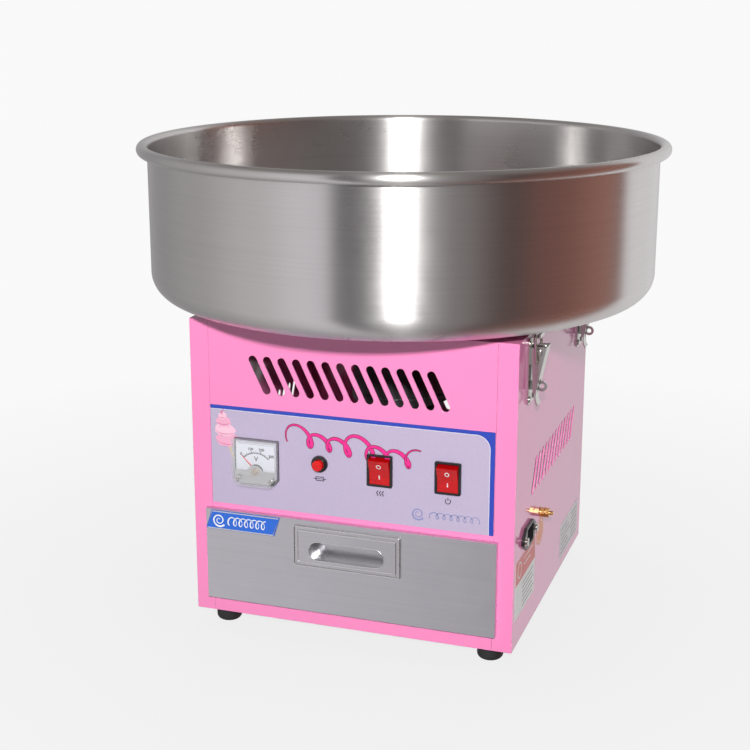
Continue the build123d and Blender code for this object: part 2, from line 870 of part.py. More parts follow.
export_step(drawer_bay.part, "parts/drawer_bay.step")

with BuildPart() as drawer_rails:
    for side in (-1, 1):
        rail_face = side * (bay_half_width - sheet)
        with BuildSketch(Plane.XZ.offset(-inner_front)):
            with Locations((rail_face - side * rail_width / 2, rail_level + sheet / 2)):
                Rectangle(rail_width, sheet)
            with Locations((rail_face - side * sheet / 2, rail_level + rail_height / 2)):
                Rectangle(sheet, rail_height)
        extrude(amount=sheet + seam - bay_depth)
drawer_rails.part.label = "drawer_rails"
export_step(drawer_rails.part, "parts/drawer_rails.step")

# ---------------------------------------------------------------- bowl

with BuildPart() as bowl:
    with BuildSketch(Plane.XZ):
        with BuildLine():
            Polyline(
                (bowl_outer_radius - bowl_corner, bowl_bottom),
                (bowl_hole_radius, bowl_bottom),
                (bowl_hole_radius, bowl_bottom + bowl_collar),
                (bowl_hole_radius + bowl_sheet, bowl_bottom + bowl_collar),
                (bowl_hole_radius + bowl_sheet, bowl_bottom + bowl_sheet),
                (bowl_outer_radius - bowl_corner, bowl_bottom + bowl_sheet),
            )
            CenterArc(bowl_corner_centre, bowl_corner, -90, 90)
            CenterArc(bowl_corner_centre, bowl_corner - bowl_sheet, -90, 90)
            Line((bowl_outer_radius, bowl_corner_centre[1]), (bowl_outer_radius, rim_centre_z))
            Line((bowl_inner_radius, bowl_corner_centre[1]), (bowl_inner_radius, rim_centre_z))
            outer_roll = CenterArc((rim_centre_radius, rim_centre_z), rim_roll, 180, -rim_roll_sweep)
            inner_roll = CenterArc(
                (rim_centre_radius, rim_centre_z), rim_roll - bowl_sheet, 180, -rim_roll_sweep
            )
            Line(outer_roll @ 1, inner_roll @ 1)
        make_face()
    revolve(axis=Axis.Z)
bowl.part.label = "bowl"
export_step(bowl.part, "parts/bowl.step")

with BuildPart() as bowl_seat:
    with BuildSketch(Plane.XY.offset(body_top)):
        ring(seat_radius, seat_radius - seat_width)
    extrude(amount=bowl_gap)
bowl_seat.part.label = "bowl_seat"
export_step(bowl_seat.part, "parts/bowl_seat.step")

# ---------------------------------------------------------------- latches


def latch_section(side, row):
    """Middle plane of a latch: local X runs outward from the panel, local Y is height."""
    origin = (side * half_width, row * latch_y, 0)
    return Plane(origin=origin, x_dir=(side, 0, 0), z_dir=(0, -side, 0))


def latch_face(side, row):
    """The panel's face at a latch: local X runs along the panel, local Y is height."""
    origin = (side * half_width, row * latch_y, 0)
    return Plane(origin=origin, x_dir=(0, side, 0), z_dir=(side, 0, 0))


def latch_base(side, row):
    """Base plate with two pivot ears and a padlock eye."""
    section = latch_section(side, row)
    with BuildPart() as base:
        with BuildSketch(latch_face(side, row)):
            with Locations((0, (base_low + base_high) / 2)):
                RectangleRounded(2 * base_half_width, base_high - base_low, 3)
            with Locations(*latch_rivet_points):
                Circle(rivet_radius, mode=Mode.SUBTRACT)
        extrude(amount=base_thickness)
        with BuildSketch(section.offset(ear_outer - ear_thickness)) as ear_outline:
            with Locations((pivot_u, pivot_z)):
                Circle(ear_radius)
            with Locations((base_thickness, pivot_z - ear_radius)):
                Rectangle(base_thickness, 4 * ear_radius)
            make_hull()
            with Locations((pivot_u, pivot_z)):
                Circle(pivot_pin_radius, mode=Mode.SUBTRACT)
        ear = extrude(amount=ear_thickness)
        mirror(ear, about=section)
        with BuildSketch(section):
            with Locations((eye_u, eye_z)):
                Circle(eye_radius)
            with Locations(((base_thickness / 2 + eye_u) / 2, eye_z)):
                Rectangle(eye_u - base_thickness / 2, 1.7 * eye_radius)
            with Locations((eye_u, eye_z)):
                Circle(eye_hole_radius, mode=Mode.SUBTRACT)
        extrude(amount=eye_half_thickness, both=True)
    return base


def latch_lever(side, row):
    """Channel-section lever with a flared tip, pivot holes and a slot for the padlock eye."""
    section = latch_section(side, row)
    slope = (lever_top_u - lever_low_u) / (lever_top_z - lever_low_z)
    web = lever_sheet * math.hypot(1, slope)
    web_low_z = lever_low_z - 10
    web_high_z = lever_top_z + 10
    with BuildPart() as lever:
        with BuildSketch(section):
            with BuildLine():
                Polyline(
                    (lever_inner_u, lever_top_z - 0.5),
                    (lever_top_u, lever_top_z),
                    (lever_low_u, lever_low_z),
                    (lever_low_u - 2.6, lever_low_z),
                    (lever_inner_u - 1.8, bail_z - 2.5),
                    close=True,
                )
            make_face()
        extrude(amount=lever_outer, both=True)
        with BuildSketch(section):
            with BuildLine():
                Polyline(
                    (lever_top_u - web + slope * 10, web_high_z),
                    (-lever_top_u, web_high_z),
                    (-lever_top_u, web_low_z),
                    (lever_low_u - web - slope * 10, web_low_z),
                    close=True,
                )
            make_face()
        extrude(amount=lever_outer - lever_sheet, both=True, mode=Mode.SUBTRACT)
        with BuildSketch(section):
            with BuildLine():
                Line((lever_low_u - web, lever_low_z), (lever_low_u, lever_low_z))
                ThreePointArc(
                    (lever_low_u, lever_low_z),
                    (lever_low_u - 0.2, (lever_low_z + lever_tip_z) / 2),
                    (lever_tip_u, lever_tip_z),
                )
                Line((lever_tip_u, lever_tip_z), (lever_tip_u - web, lever_tip_z - 0.4))
                ThreePointArc(
                    (lever_tip_u - web, lever_tip_z - 0.4),
                    (lever_low_u - 0.2 - web, (lever_low_z + lever_tip_z) / 2),
                    (lever_low_u - web, lever_low_z),
                )
            make_face()
        extrude(amount=lever_tip_half_width, both=True)
        with BuildSketch(latch_face(side, row).offset(base_thickness)):
            with Locations((0, eye_z)):
                Rectangle(4.4 * eye_half_thickness, 2.8 * eye_radius)
        extrude(amount=lever_top_u, mode=Mode.SUBTRACT)
        with BuildSketch(section):
            with Locations((pivot_u, pivot_z)):
                Circle(pivot_pin_radius + running_fit)
            with Locations((bail_u, bail_z)):
                Circle(wire_radius + running_fit)
        extrude(amount=2 * lever_outer, both=True, mode=Mode.SUBTRACT)
    return lever


def latch_bail(side, row):
    """Wire loop whose ends turn in through the lever's cheeks."""
    middle_y = row * latch_y
    pivot_x = side * (half_width + bail_u)
    hook_x = side * (half_width + hook_u)
    with BuildPart() as bail:
        with BuildLine() as wire:
            FilletPolyline(
                (pivot_x, middle_y - bail_end_y, bail_z),
                (pivot_x, middle_y - leg_y, bail_z),
                (hook_x, middle_y - leg_y, hook_z),
                (hook_x, middle_y + leg_y, hook_z),
                (pivot_x, middle_y + leg_y, bail_z),
                (pivot_x, middle_y + bail_end_y, bail_z),
                radius=[wire_end_bend, wire_hook_bend, wire_hook_bend, wire_end_bend],
            )
        with BuildSketch(Plane(origin=wire.line @ 0, z_dir=wire.line % 0)):
            Circle(wire_radius)
        sweep()
    return bail


latches = {"front_right": (1, -1), "rear_right": (1, 1), "front_left": (-1, -1), "rear_left": (-1, 1)}

for place, (side, row) in latches.items():
    base = latch_base(side, row)
    base.part.label = f"{place}_latch_base"
    export_step(base.part, f"parts/{base.part.label}.step")
    lever = latch_lever(side, row)
    lever.part.label = f"{place}_latch_lever"
    export_step(lever.part, f"parts/{lever.part.label}.step")
    bail = latch_bail(side, row)
    bail.part.label = f"{place}_latch_bail"
    export_step(bail.part, f"parts/{bail.part.label}.step")

with BuildPart() as fixing_rivet:
    Cylinder(rivet_radius, base_thickness + sheet, align=(Align.CENTER, Align.CENTER, Align.MIN))
    with BuildSketch(Plane.XY.offset(base_thickness + sheet)):
        Circle(rivet_head_radius)
    extrude(amount=rivet_head)
    fillet(fixing_rivet.edges().group_by(Axis.Z)[-1], radius=0.9 * rivet_head)
    with BuildSketch():
        Circle(0.8 * rivet_head_radius)
    extrude(amount=-rivet_head)

with BuildPart() as pivot_rivet:
    Cylinder(pivot_pin_radius, 2 * lever_outer)
    for end in (-1, 1):
        with BuildSketch(Plane.XY.offset(end * lever_outer)):
            Circle(rivet_head_radius)
        extrude(amount=end * rivet_head)
    fillet(pivot_rivet.edges().group_by(Axis.Z)[-1], radius=0.9 * rivet_head)
    fillet(pivot_rivet.edges().group_by(Axis.Z)[0], radius=0.9 * rivet_head)

with BuildPart() as latch_rivets:
    for side, row in latches.values():
        for along, height in latch_rivet_points:
            seat = (side * (half_width - sheet), row * latch_y + along, height)
            with Locations(Plane(origin=seat, z_dir=(side, 0, 0))):
                add(fixing_rivet.part)
        pivot = (side * (half_width + pivot_u), row * latch_y, pivot_z)
        with Locations(Plane(origin=pivot, z_dir=(0, 1, 0))):
            add(pivot_rivet.part)
latch_rivets.part.label = "latch_rivets"
export_step(latch_rivets.part, "parts/latch_rivets.step")

with BuildPart() as bowl_keepers:
    for side, row in latches.values():
        with BuildSketch(latch_section(side, row)):
            with BuildLine():
                Polyline(
                    (-keeper_reach, bowl_bottom),
                    (keeper_back_u + sheet, bowl_bottom),
                    (keeper_back_u + sheet, keeper_floor),
                    (keeper_lip_u, keeper_floor),
                    (keeper_lip_u, keeper_lip_z),
                    (keeper_lip_u + sheet, keeper_lip_z),
                    (keeper_lip_u + sheet, keeper_floor - sheet),
                    (keeper_back_u, keeper_floor - sheet),
                    (keeper_back_u, bowl_bottom - sheet),
                    (-keeper_reach, bowl_bottom - sheet),
                    close=True,
                )
            make_face()
        extrude(amount=keeper_half_width, both=True)
bowl_keepers.part.label = "bowl_keepers"
export_step(bowl_keepers.part, "parts/bowl_keepers.step")

# ---------------------------------------------------------------- mains inlet and bonding stud

inlet_face = side_plane(1)

with BuildPart() as power_inlet:
    with BuildSketch(inlet_face):
        with Locations((inlet_y, inlet_z)):
            Rectangle(inlet_body_width, inlet_body_height + 2)
            with GridLocations(inlet_screw_spacing, 0, 2, 1):
                Circle(inlet_ear_radius)
        make_hull()
        with Locations((inlet_y, inlet_z)):
            with GridLocations(inlet_screw_spacing, 0, 2, 1):
                Circle(screw_hole_radius, mode=Mode.SUBTRACT)
    extrude(amount=inlet_flange)
    with BuildSketch(inlet_face):
        with Locations((inlet_y, inlet_z)):
            Rectangle(inlet_body_width, inlet_body_height)
    extrude(amount=-inlet_body_depth)
    with BuildSketch(inlet_face.offset(inlet_flange)):
        with Locations((inlet_y, inlet_z)):
            Rectangle(socket_width, socket_height)
    extrude(amount=-socket_depth, mode=Mode.SUBTRACT)
    with BuildSketch(inlet_face.offset(-inlet_body_depth)):
        with Locations((inlet_y, inlet_z)):
            with Locations(*pin_points):
                Rectangle(pin_width, pin_height)
    extrude(amount=inlet_body_depth, mode=Mode.SUBTRACT)
power_inlet.part.label = "power_inlet"
export_step(power_inlet.part, "parts/power_inlet.step")

with BuildPart() as inlet_pins:
    with BuildSketch(inlet_face.offset(-inlet_body_depth - pin_tail)):
        with Locations((inlet_y, inlet_z)):
            with Locations(*pin_points):
                Rectangle(pin_width, pin_height)
    extrude(amount=inlet_body_depth + pin_tail + inlet_flange - pin_setback)
inlet_pins.part.label = "inlet_pins"
export_step(inlet_pins.part, "parts/inlet_pins.step")

with BuildPart() as ground_stud:
    with BuildSketch(inlet_face.offset(-stud_inner_length)):
        with Locations((stud_y, stud_z)):
            Circle(stud_radius)
    extrude(amount=stud_inner_length + nut_stack)
    with BuildSketch(inlet_face.offset(nut_stack)):
        with Locations((stud_y, stud_z)):
            Circle(stud_tip_radius)
    extrude(amount=stud_length - nut_stack)
ground_stud.part.label = "ground_stud"
export_step(ground_stud.part, "parts/ground_stud.step")

with BuildPart() as ground_nuts:
    for level in nut_levels:
        with BuildSketch(inlet_face.offset(level)):
            with Locations((stud_y, stud_z)):
                RegularPolygon(nut_across_flats / 2, 6, major_radius=False)
                Circle(stud_radius, mode=Mode.SUBTRACT)
        extrude(amount=nut_height)
    for level in washer_levels:
        with BuildSketch(inlet_face.offset(level)):
            with Locations((stud_y, stud_z)):
                ring(washer_radius, stud_radius)
        extrude(amount=washer_height)
ground_nuts.part.label = "ground_nuts"
export_step(ground_nuts.part, "parts/ground_nuts.step")

# ---------------------------------------------------------------- motor

with BuildPart() as motor:
    with BuildSketch(Plane.XY.offset(motor_bottom)):
        ring(bell_radius, motor_bore_radius)
    extrude(amount=bell_height)
    with BuildSketch(Plane.XY.offset(motor_bottom + bell_height)):
        ring(motor_radius, motor_bore_radius)
    extrude(amount=motor_top - motor_bottom - 2 * bell_height)
    with BuildSketch(Plane.XY.offset(motor_top - bell_height)):
        ring(bell_radius, motor_bore_radius)
    extrude(amount=bell_height)
    with BuildSketch(Plane.XY.offset(motor_top - ear_height)):
        with PolarLocations(mount_circle_radius, 4, start_angle=45):
            Circle(mount_radius)
        with PolarLocations(mount_circle_radius - mount_radius, 4, start_angle=45):
            Rectangle(2 * mount_radius, 2 * mount_radius)
        with PolarLocations(mount_circle_radius, 4, start_angle=45):
            Circle(screw_hole_radius, mode=Mode.SUBTRACT)
    extrude(amount=ear_height)
    for pocket_level in (motor_bottom, motor_top - bearing_width):
        with BuildSketch(Plane.XY.offset(pocket_level)):
            Circle(bearing_radius)
        extrude(amount=bearing_width, mode=Mode.SUBTRACT)
motor.part.label = "motor"
export_step(motor.part, "parts/motor.step")

with BuildPart() as shaft_bearings:
    for pocket_level in (motor_bottom, motor_top - bearing_width):
        with BuildSketch(Plane.XY.offset(pocket_level)):
            ring(bearing_radius, shaft_radius + running_fit)
        extrude(amount=bearing_width)
shaft_bearings.part.label = "shaft_bearings"
export_step(shaft_bearings.part, "parts/shaft_bearings.step")

with BuildPart() as motor_mounts:
    with BuildSketch(Plane.XY.offset(motor_top)):
        with PolarLocations(mount_circle_radius, 4, start_angle=45):
            ring(mount_radius, screw_hole_radius)
    extrude(amount=body_top - sheet - motor_top)
motor_mounts.part.label = "motor_mounts"
export_step(motor_mounts.part, "parts/motor_mounts.step")

with BuildPart() as brush_holder:
    with BuildSketch(Plane.XY.offset(shaft_bottom)):
        with Locations((slip_ring_radius + holder_setback + holder_length / 2, 0)):
            Rectangle(holder_length, holder_width)
    extrude(amount=motor_bottom - shaft_bottom)
    with BuildSketch(Plane.YZ):
        with Locations(*[(0, level) for level in brush_levels]):
            Rectangle(brush_width, brush_width)
    extrude(amount=2 * bell_radius, mode=Mode.SUBTRACT)
brush_holder.part.label = "brush_holder"
export_step(brush_holder.part, "parts/brush_holder.step")

with BuildPart() as carbon_brushes:
    with BuildSketch(Plane.YZ.offset(slip_ring_radius + brush_gap)):
        with Locations(*[(0, level) for level in brush_levels]):
            Rectangle(brush_width, brush_width)
    extrude(amount=brush_length)
carbon_brushes.part.label = "carbon_brushes"
export_step(carbon_brushes.part, "parts/carbon_brushes.step")

# ---------------------------------------------------------------- spinner

with BuildPart() as spinner_shaft:
    with BuildSketch(Plane.XY.offset(shaft_bottom)):
        Circle(shaft_radius)
    extrude(amount=hub_top + shaft_end - shaft_bottom)
spinner_shaft.part.label = "spinner_shaft"
export_step(spinner_shaft.part, "parts/spinner_shaft.step")

with BuildPart() as slip_rings:
    with BuildSketch(Plane.XY.offset(shaft_bottom + 2)):
        ring(slip_hub_radius, shaft_radius)
    extrude(amount=motor_bottom - shaft_bottom - 4)
    for level in brush_levels:
        with BuildSketch(Plane.XY.offset(level - slip_ring_width / 2)):
            ring(slip_ring_radius, slip_hub_radius)
        extrude(amount=slip_ring_width)
slip_rings.part.label = "slip_rings"
export_step(slip_rings.part, "parts/slip_rings.step")

with BuildPart() as spinner_base:
    with BuildSketch(Plane.XY.offset(head_bottom)):
        ring(head_radius, shaft_radius)
    extrude(amount=head_base_thickness)
    with BuildSketch(Plane.XY.offset(head_bottom - hub_drop)):
        ring(hub_radius, shaft_radius)
    extrude(amount=hub_top - head_bottom + hub_drop)
spinner_base.part.label = "spinner_base"
export_step(spinner_base.part, "parts/spinner_base.step")

with BuildPart() as heater_ring:
    with BuildSketch(Plane.XY.offset(band_bottom)):
        ring(heater_outer, heater_inner)
    extrude(amount=heater_height)
heater_ring.part.label = "heater_ring"
export_step(heater_ring.part, "parts/heater_ring.step")

with BuildPart() as spinner_band:
    with BuildSketch(Plane.XY.offset(band_bottom)):
        ring(head_radius, head_radius - band_sheet)
    extrude(amount=band_height)
    with Locations((0, 0, band_bottom + (band_height - band_slot_height) / 2)):
        with PolarLocations(head_radius, band_slots):
            Box(
                4 * band_sheet,
                band_slot_width,
                band_slot_height,
                align=(Align.CENTER, Align.CENTER, Align.MIN),
                mode=Mode.SUBTRACT,
            )
spinner_band.part.label = "spinner_band"
export_step(spinner_band.part, "parts/spinner_band.step")

with BuildPart() as spinner_cap:
    with BuildSketch(Plane.XZ):
        with BuildLine():
            Polyline(
                (cap_opening_radius, head_top),
                (head_radius - band_sheet - cap_skirt_gap - band_sheet, head_top),
                (head_radius - band_sheet - cap_skirt_gap - band_sheet, head_top - cap_skirt),
                (head_radius - band_sheet - cap_skirt_gap, head_top - cap_skirt),
                (head_radius - band_sheet - cap_skirt_gap, head_top),
                (head_radius + 1, head_top),
                (head_radius + 1, head_top + cap_thickness),
                (cap_opening_radius + band_sheet, head_top + cap_thickness),
                (cap_opening_radius + band_sheet + cap_flare, head_top + cap_funnel_height),
                (cap_opening_radius + cap_flare, head_top + cap_funnel_height),
                close=True,
            )
        make_face()
    revolve(axis=Axis.Z)
spinner_cap.part.label = "spinner_cap"
export_step(spinner_cap.part, "parts/spinner_cap.step")

# ---------------------------------------------------------------- wiring

with BuildPart() as terminal_block:
    with BuildSketch(Plane.XY.offset(bay_top)):
        with Locations((block_x, block_y)):
            Rectangle(block_length, block_width)
    extrude(amount=block_height)
    with BuildSketch(Plane.XY.offset(bay_top + block_height)):
        with Locations((block_x, block_y)):
            with GridLocations(block_pitch, 0, 4, 1):
                Rectangle(block_rib, block_width)
    extrude(amount=-block_height / 3, mode=Mode.SUBTRACT)
terminal_block.part.label = "terminal_block"
export_step(terminal_block.part, "parts/terminal_block.step")


def bend_radii(points):
    """The largest arcs that the runs of a lead leave room for."""
    vectors = [Vector(*point) for point in points]
    radii = []
    for before, corner, after in zip(vectors, vectors[1:], vectors[2:]):
        run_in = corner - before
        run_out = after - corner
        half_turn = math.radians(run_in.get_angle(run_out)) / 2
        radii.append(0.45 * min(run_in.length, run_out.length) / math.tan(half_turn))
    return radii


block_top = bay_top + block_height
switch_back = control_face + switch_depth
inlet_top = inlet_z + inlet_body_height / 2
lead_x = half_width - inlet_body_depth + 3
lead_routes = [
    [
        (lead_x, inlet_y - 6, inlet_top),
        (lead_x, inlet_y - 6, inlet_top + 24),
        (block_x + 34, inlet_y + 14, block_top + 18),
        (block_x + 22.5, block_y - 5, block_top + 16),
        (block_x + 22.5, block_y - 5, block_top),
    ],
    [
        (lead_x, inlet_y + 6, inlet_top),
        (lead_x, inlet_y + 6, inlet_top + 16),
        (block_x + 36, inlet_y + 34, block_top + 10),
        (block_x + 22.5, block_y + 5, block_top + 14),
        (block_x + 22.5, block_y + 5, block_top),
    ],
    [
        (half_width - stud_inner_length, stud_y, stud_z),
        (half_width - stud_inner_length - 9, stud_y, stud_z),
        (half_width - stud_inner_length - 10, stud_y + 12, block_top + 6),
        (block_x + 7.5, block_y + 8, block_top + 20),
        (block_x + 7.5, block_y + 5, block_top),
    ],
    [
        (block_x + 7.5, block_y - 5, block_top),
        (block_x + 7.5, block_y - 8, block_top + 20),
        (power_switch_x, block_y - 50, control_z - 4),
        (power_switch_x, switch_back + 14, control_z),
        (power_switch_x, switch_back, control_z),
    ],
    [
        (block_x - 7.5, block_y - 5, block_top),
        (block_x - 7.5, block_y - 10, block_top + 22),
        (heat_switch_x + 16, block_y - 60, control_z - 6),
        (heat_switch_x, switch_back + 16, control_z),
        (heat_switch_x, switch_back, control_z),
    ],
    [
        (block_x - 22.5, block_y - 5, block_top),
        (block_x - 24, block_y - 14, block_top + 18),
        (block_x - 70, block_y - 52, block_top + 24),
        (meter_x + 60, block_y - 68, block_top + 26),
        (meter_x, control_face + meter_barrel_depth + 22, meter_z),
        (meter_x, control_face + meter_barrel_depth, meter_z),
    ],
    [
        (block_x - 22.5, block_y + 5, block_top),
        (block_x - 26, block_y + 8, block_top + 26),
        (bell_radius - 16, block_y + 6, motor_bottom - 18),
        (bell_radius - 16, block_y + 6, motor_bottom),
    ],
    [
        (block_x - 7.5, block_y + 5, block_top),
        (block_x - 10, block_y + 18, block_top + 24),
        (holder_end + 16, 0, brush_levels[0] + 9),
        (holder_end, 0, brush_levels[0] + 9),
    ],
]

with BuildPart() as internal_leads:
    for route in lead_routes:
        with BuildLine() as lead:
            FilletPolyline(*route, radius=bend_radii(route))
        with BuildSketch(Plane(origin=lead.line @ 0, z_dir=lead.line % 0)) as lead_section:
            Circle(lead_radius)
        sweep(lead_section.sketch, path=lead.line)
internal_leads.part.label = "internal_leads"
export_step(internal_leads.part, "parts/internal_leads.step")

# ---------------------------------------------------------------- screws


def pan_screw(shank_radius, shank_length, head_radius_of_screw, head_height):
    """A pan-head screw: the head stands on z = 0 and the shank goes down."""
    with BuildPart() as screw:
        with BuildSketch():
            Circle(head_radius_of_screw)
        extrude(amount=head_height)
        fillet(screw.edges().group_by(Axis.Z)[-1], radius=0.45 * head_height)
        with BuildSketch():
            Circle(shank_radius)
        extrude(amount=-shank_length)
    return screw


case_screw = pan_screw(screw_radius, case_screw_length, screw_head_radius, screw_head_height)
foot_screw_length = foot_height - foot_recess_depth + sheet + 4
foot_screw = pan_screw(screw_radius, foot_screw_length, screw_head_radius, screw_head_height)
motor_screw_length = body_top - motor_top + ear_height + 4
motor_screw = pan_screw(screw_radius, motor_screw_length, screw_head_radius, screw_head_height)
meter_screw_length = meter_front - meter_flange - dial_thickness
meter_screw = pan_screw(meter_screw_radius, meter_screw_length, 2 * meter_screw_radius, 0.8)

with BuildPart() as machine_screws:
    for side in (-1, 1):
        for height in rear_screw_heights:
            with Locations(Plane(origin=(side * rear_screw_x, half_depth, height), z_dir=(0, 1, 0))):
                add(case_screw.part)
        inlet_screw_y = inlet_y + side * inlet_screw_spacing / 2
        inlet_screw_seat = (half_width + inlet_flange, inlet_screw_y, inlet_z)
        with Locations(Plane(origin=inlet_screw_seat, z_dir=(1, 0, 0))):
            add(case_screw.part)
        meter_screw_seat = (
            meter_x + side * meter_screw_spacing / 2,
            control_face - meter_front,
            meter_z - meter_screw_drop,
        )
        with Locations(Plane(origin=meter_screw_seat, z_dir=(0, -1, 0))):
            add(meter_screw.part)
        for end in (-1, 1):
            foot_seat = (side * foot_x, end * foot_y, foot_recess_depth)
            with Locations(Plane(origin=foot_seat, z_dir=(0, 0, -1))):
                add(foot_screw.part)
    with Locations(Plane.XY.offset(body_top)):
        with PolarLocations(mount_circle_radius, 4, start_angle=45):
            add(motor_screw.part)
machine_screws.part.label = "machine_screws"
export_step(machine_screws.part, "parts/machine_screws.step")
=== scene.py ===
"""Looks of a table-top cotton candy machine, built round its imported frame.

Lengths are in metres in the frame's own axes: +Z up, the front faces -Y and the mains inlet is on +X.
Sizes that a maker would read off a drawing are written in millimetres and turned into metres by MM.
"""

import logging
import math
from dataclasses import dataclass, field
from enum import Enum
from typing import Callable, Sequence

import bmesh
import bpy
from mathutils import Matrix, Vector


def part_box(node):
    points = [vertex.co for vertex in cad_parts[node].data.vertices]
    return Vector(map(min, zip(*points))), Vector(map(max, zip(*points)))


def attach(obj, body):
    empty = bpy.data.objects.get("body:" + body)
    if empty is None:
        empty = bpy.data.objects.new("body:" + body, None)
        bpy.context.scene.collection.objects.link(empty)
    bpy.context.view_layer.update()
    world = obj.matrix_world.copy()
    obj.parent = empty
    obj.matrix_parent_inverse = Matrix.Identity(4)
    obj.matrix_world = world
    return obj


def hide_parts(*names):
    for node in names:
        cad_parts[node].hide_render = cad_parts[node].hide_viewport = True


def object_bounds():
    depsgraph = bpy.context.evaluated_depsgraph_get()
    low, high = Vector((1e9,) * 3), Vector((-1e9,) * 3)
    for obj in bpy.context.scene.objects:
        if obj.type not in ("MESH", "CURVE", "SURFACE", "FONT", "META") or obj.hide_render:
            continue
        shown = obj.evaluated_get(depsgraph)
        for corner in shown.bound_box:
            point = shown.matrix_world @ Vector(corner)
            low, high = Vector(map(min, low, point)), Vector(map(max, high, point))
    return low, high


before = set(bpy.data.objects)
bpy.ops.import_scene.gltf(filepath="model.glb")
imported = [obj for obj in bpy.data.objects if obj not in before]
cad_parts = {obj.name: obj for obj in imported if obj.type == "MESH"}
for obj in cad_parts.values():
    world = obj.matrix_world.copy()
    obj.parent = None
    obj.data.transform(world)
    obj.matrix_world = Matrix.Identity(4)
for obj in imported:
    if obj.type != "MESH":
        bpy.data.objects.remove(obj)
CAD_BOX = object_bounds()

LOG = logging.getLogger("cotton_candy_machine")
MM = 0.001

Colour = tuple[float, float, float]
Point = tuple[float, float]
Socket = bpy.types.NodeSocket


# ---------------------------------------------------------------- node trees


class Graph:
    """Short calls for placing and joining the nodes of one tree."""

    def __init__(self, tree: bpy.types.NodeTree) -> None:
        """Keep the tree that the nodes go in.

        Args:
            tree: a material's, world's or group's node tree.
        """
        self.tree = tree

    def node(self, kind: str, sockets: dict | None = None, **settings: object) -> bpy.types.Node:
        """Place one node.

        Args:
            kind: the node's type, without its ShaderNode prefix.
            sockets: a value or a link for each input, by name or index.
            settings: the node's own properties.

        Returns:
            The node.
        """
        placed = self.tree.nodes.new("ShaderNode" + kind)
        for key, value in settings.items():
            setattr(placed, key, value)
        for key, value in (sockets or {}).items():
            self.feed(placed.inputs[key], value)
        return placed

    def feed(self, socket: Socket, value: object) -> None:
        """Link a socket to the input, or set the input to a constant.

        Args:
            socket: the input.
            value: an output socket, a number, a vector or a colour.
        """
        if isinstance(value, bpy.types.NodeSocket):
            self.tree.links.new(value, socket)
        else:
            socket.default_value = value

    def math(self, operation: str, *values: object, clamp: bool = False) -> Socket:
        """Place a Math node and return its output.

        Args:
            operation: the node's operation, in capitals.
            values: its inputs, in order.
            clamp: whether the result is held between 0 and 1.

        Returns:
            The output socket.
        """
        placed = self.node("Math", dict(enumerate(values)), operation=operation, use_clamp=clamp)
        return placed.outputs[0]

    def blend(self, share: object, first: object, second: object, mode: str = "MIX") -> Socket:
        """Mix two colours.

        Args:
            share: how much of the second there is, from 0 to 1.
            first: a colour or socket.
            second: a colour or socket.
            mode: the blend type.

        Returns:
            The mixed colour's socket.
        """
        placed = self.node("Mix", data_type="RGBA", blend_type=mode)
        for index, value in ((0, share), (6, first), (7, second)):
            self.feed(placed.inputs[index], rgba(value))
        return placed.outputs[2]

    def range(self, value: Socket, low: float, high: float, to_low: float, to_high: float) -> Socket:
        """Map a value's range to another, held at both ends.

        Args:
            value: the socket to map.
            low: where the range starts.
            high: where the range ends.
            to_low: what low becomes.
            to_high: what high becomes.

        Returns:
            The mapped socket.
        """
        inputs = {0: value, 1: low, 2: high, 3: to_low, 4: to_high}
        return self.node("MapRange", inputs).outputs[0]

    def ramp(self, value: Socket, stops: Sequence[tuple[float, Colour]], hold: bool = False) -> Socket:
        """Turn a value into a colour.

        Args:
            value: the socket to look up.
            stops: position and colour pairs.
            hold: whether each colour is held until the next stop.

        Returns:
            The colour's socket.
        """
        placed = self.node("ValToRGB", {0: value})
        placed.color_ramp.interpolation = "CONSTANT" if hold else "EASE"
        elements = placed.color_ramp.elements
        while len(elements) < len(stops):
            elements.new(0.5)
        for element, (position, colour) in zip(elements, stops):
            element.position = position
            element.color = (*colour, 1.0)
        return placed.outputs[0]

    def place(self) -> Socket:
        """Return the surface point in the frame's own axes."""
        return self.node("TexCoord").outputs["Object"]

    def noise(self, where: Socket, scale: float, detail: float = 2.0, roughness: float = 0.5) -> Socket:
        """Place a Noise Texture and return its value.

        Args:
            where: the point to look up.
            scale: features to the metre.
            detail: octaves.
            roughness: how strong the finer octaves are.

        Returns:
            The value's socket.
        """
        inputs = {"Vector": where, "Scale": scale, "Detail": detail, "Roughness": roughness}
        return self.node("TexNoise", inputs).outputs[0]


def rgba(value: object) -> object:
    """Give a plain colour its fourth number, and pass anything else through."""
    if isinstance(value, tuple) and len(value) == 3:
        return (*value, 1.0)
    return value


# ---------------------------------------------------------------- shared effects


class Effect(Enum):
    """The effects that more than one finish uses, each a shader node group."""

    EDGE_WEAR = "edge_wear"
    ROUNDED_EDGE = "rounded_edge"
    LATHE_GRAIN = "lathe_grain"
    SHEET_GRAIN = "sheet_grain"
    ORANGE_PEEL = "orange_peel"
    SMUDGES = "smudges"
    DUST = "dust"


@dataclass(frozen=True)
class EffectRecipe:
    """What a group takes in, what it puts out, and how its inside is made."""

    inputs: dict[str, float]
    outputs: dict[str, str]
    build: Callable[[Graph, dict[str, Socket]], dict[str, Socket]]


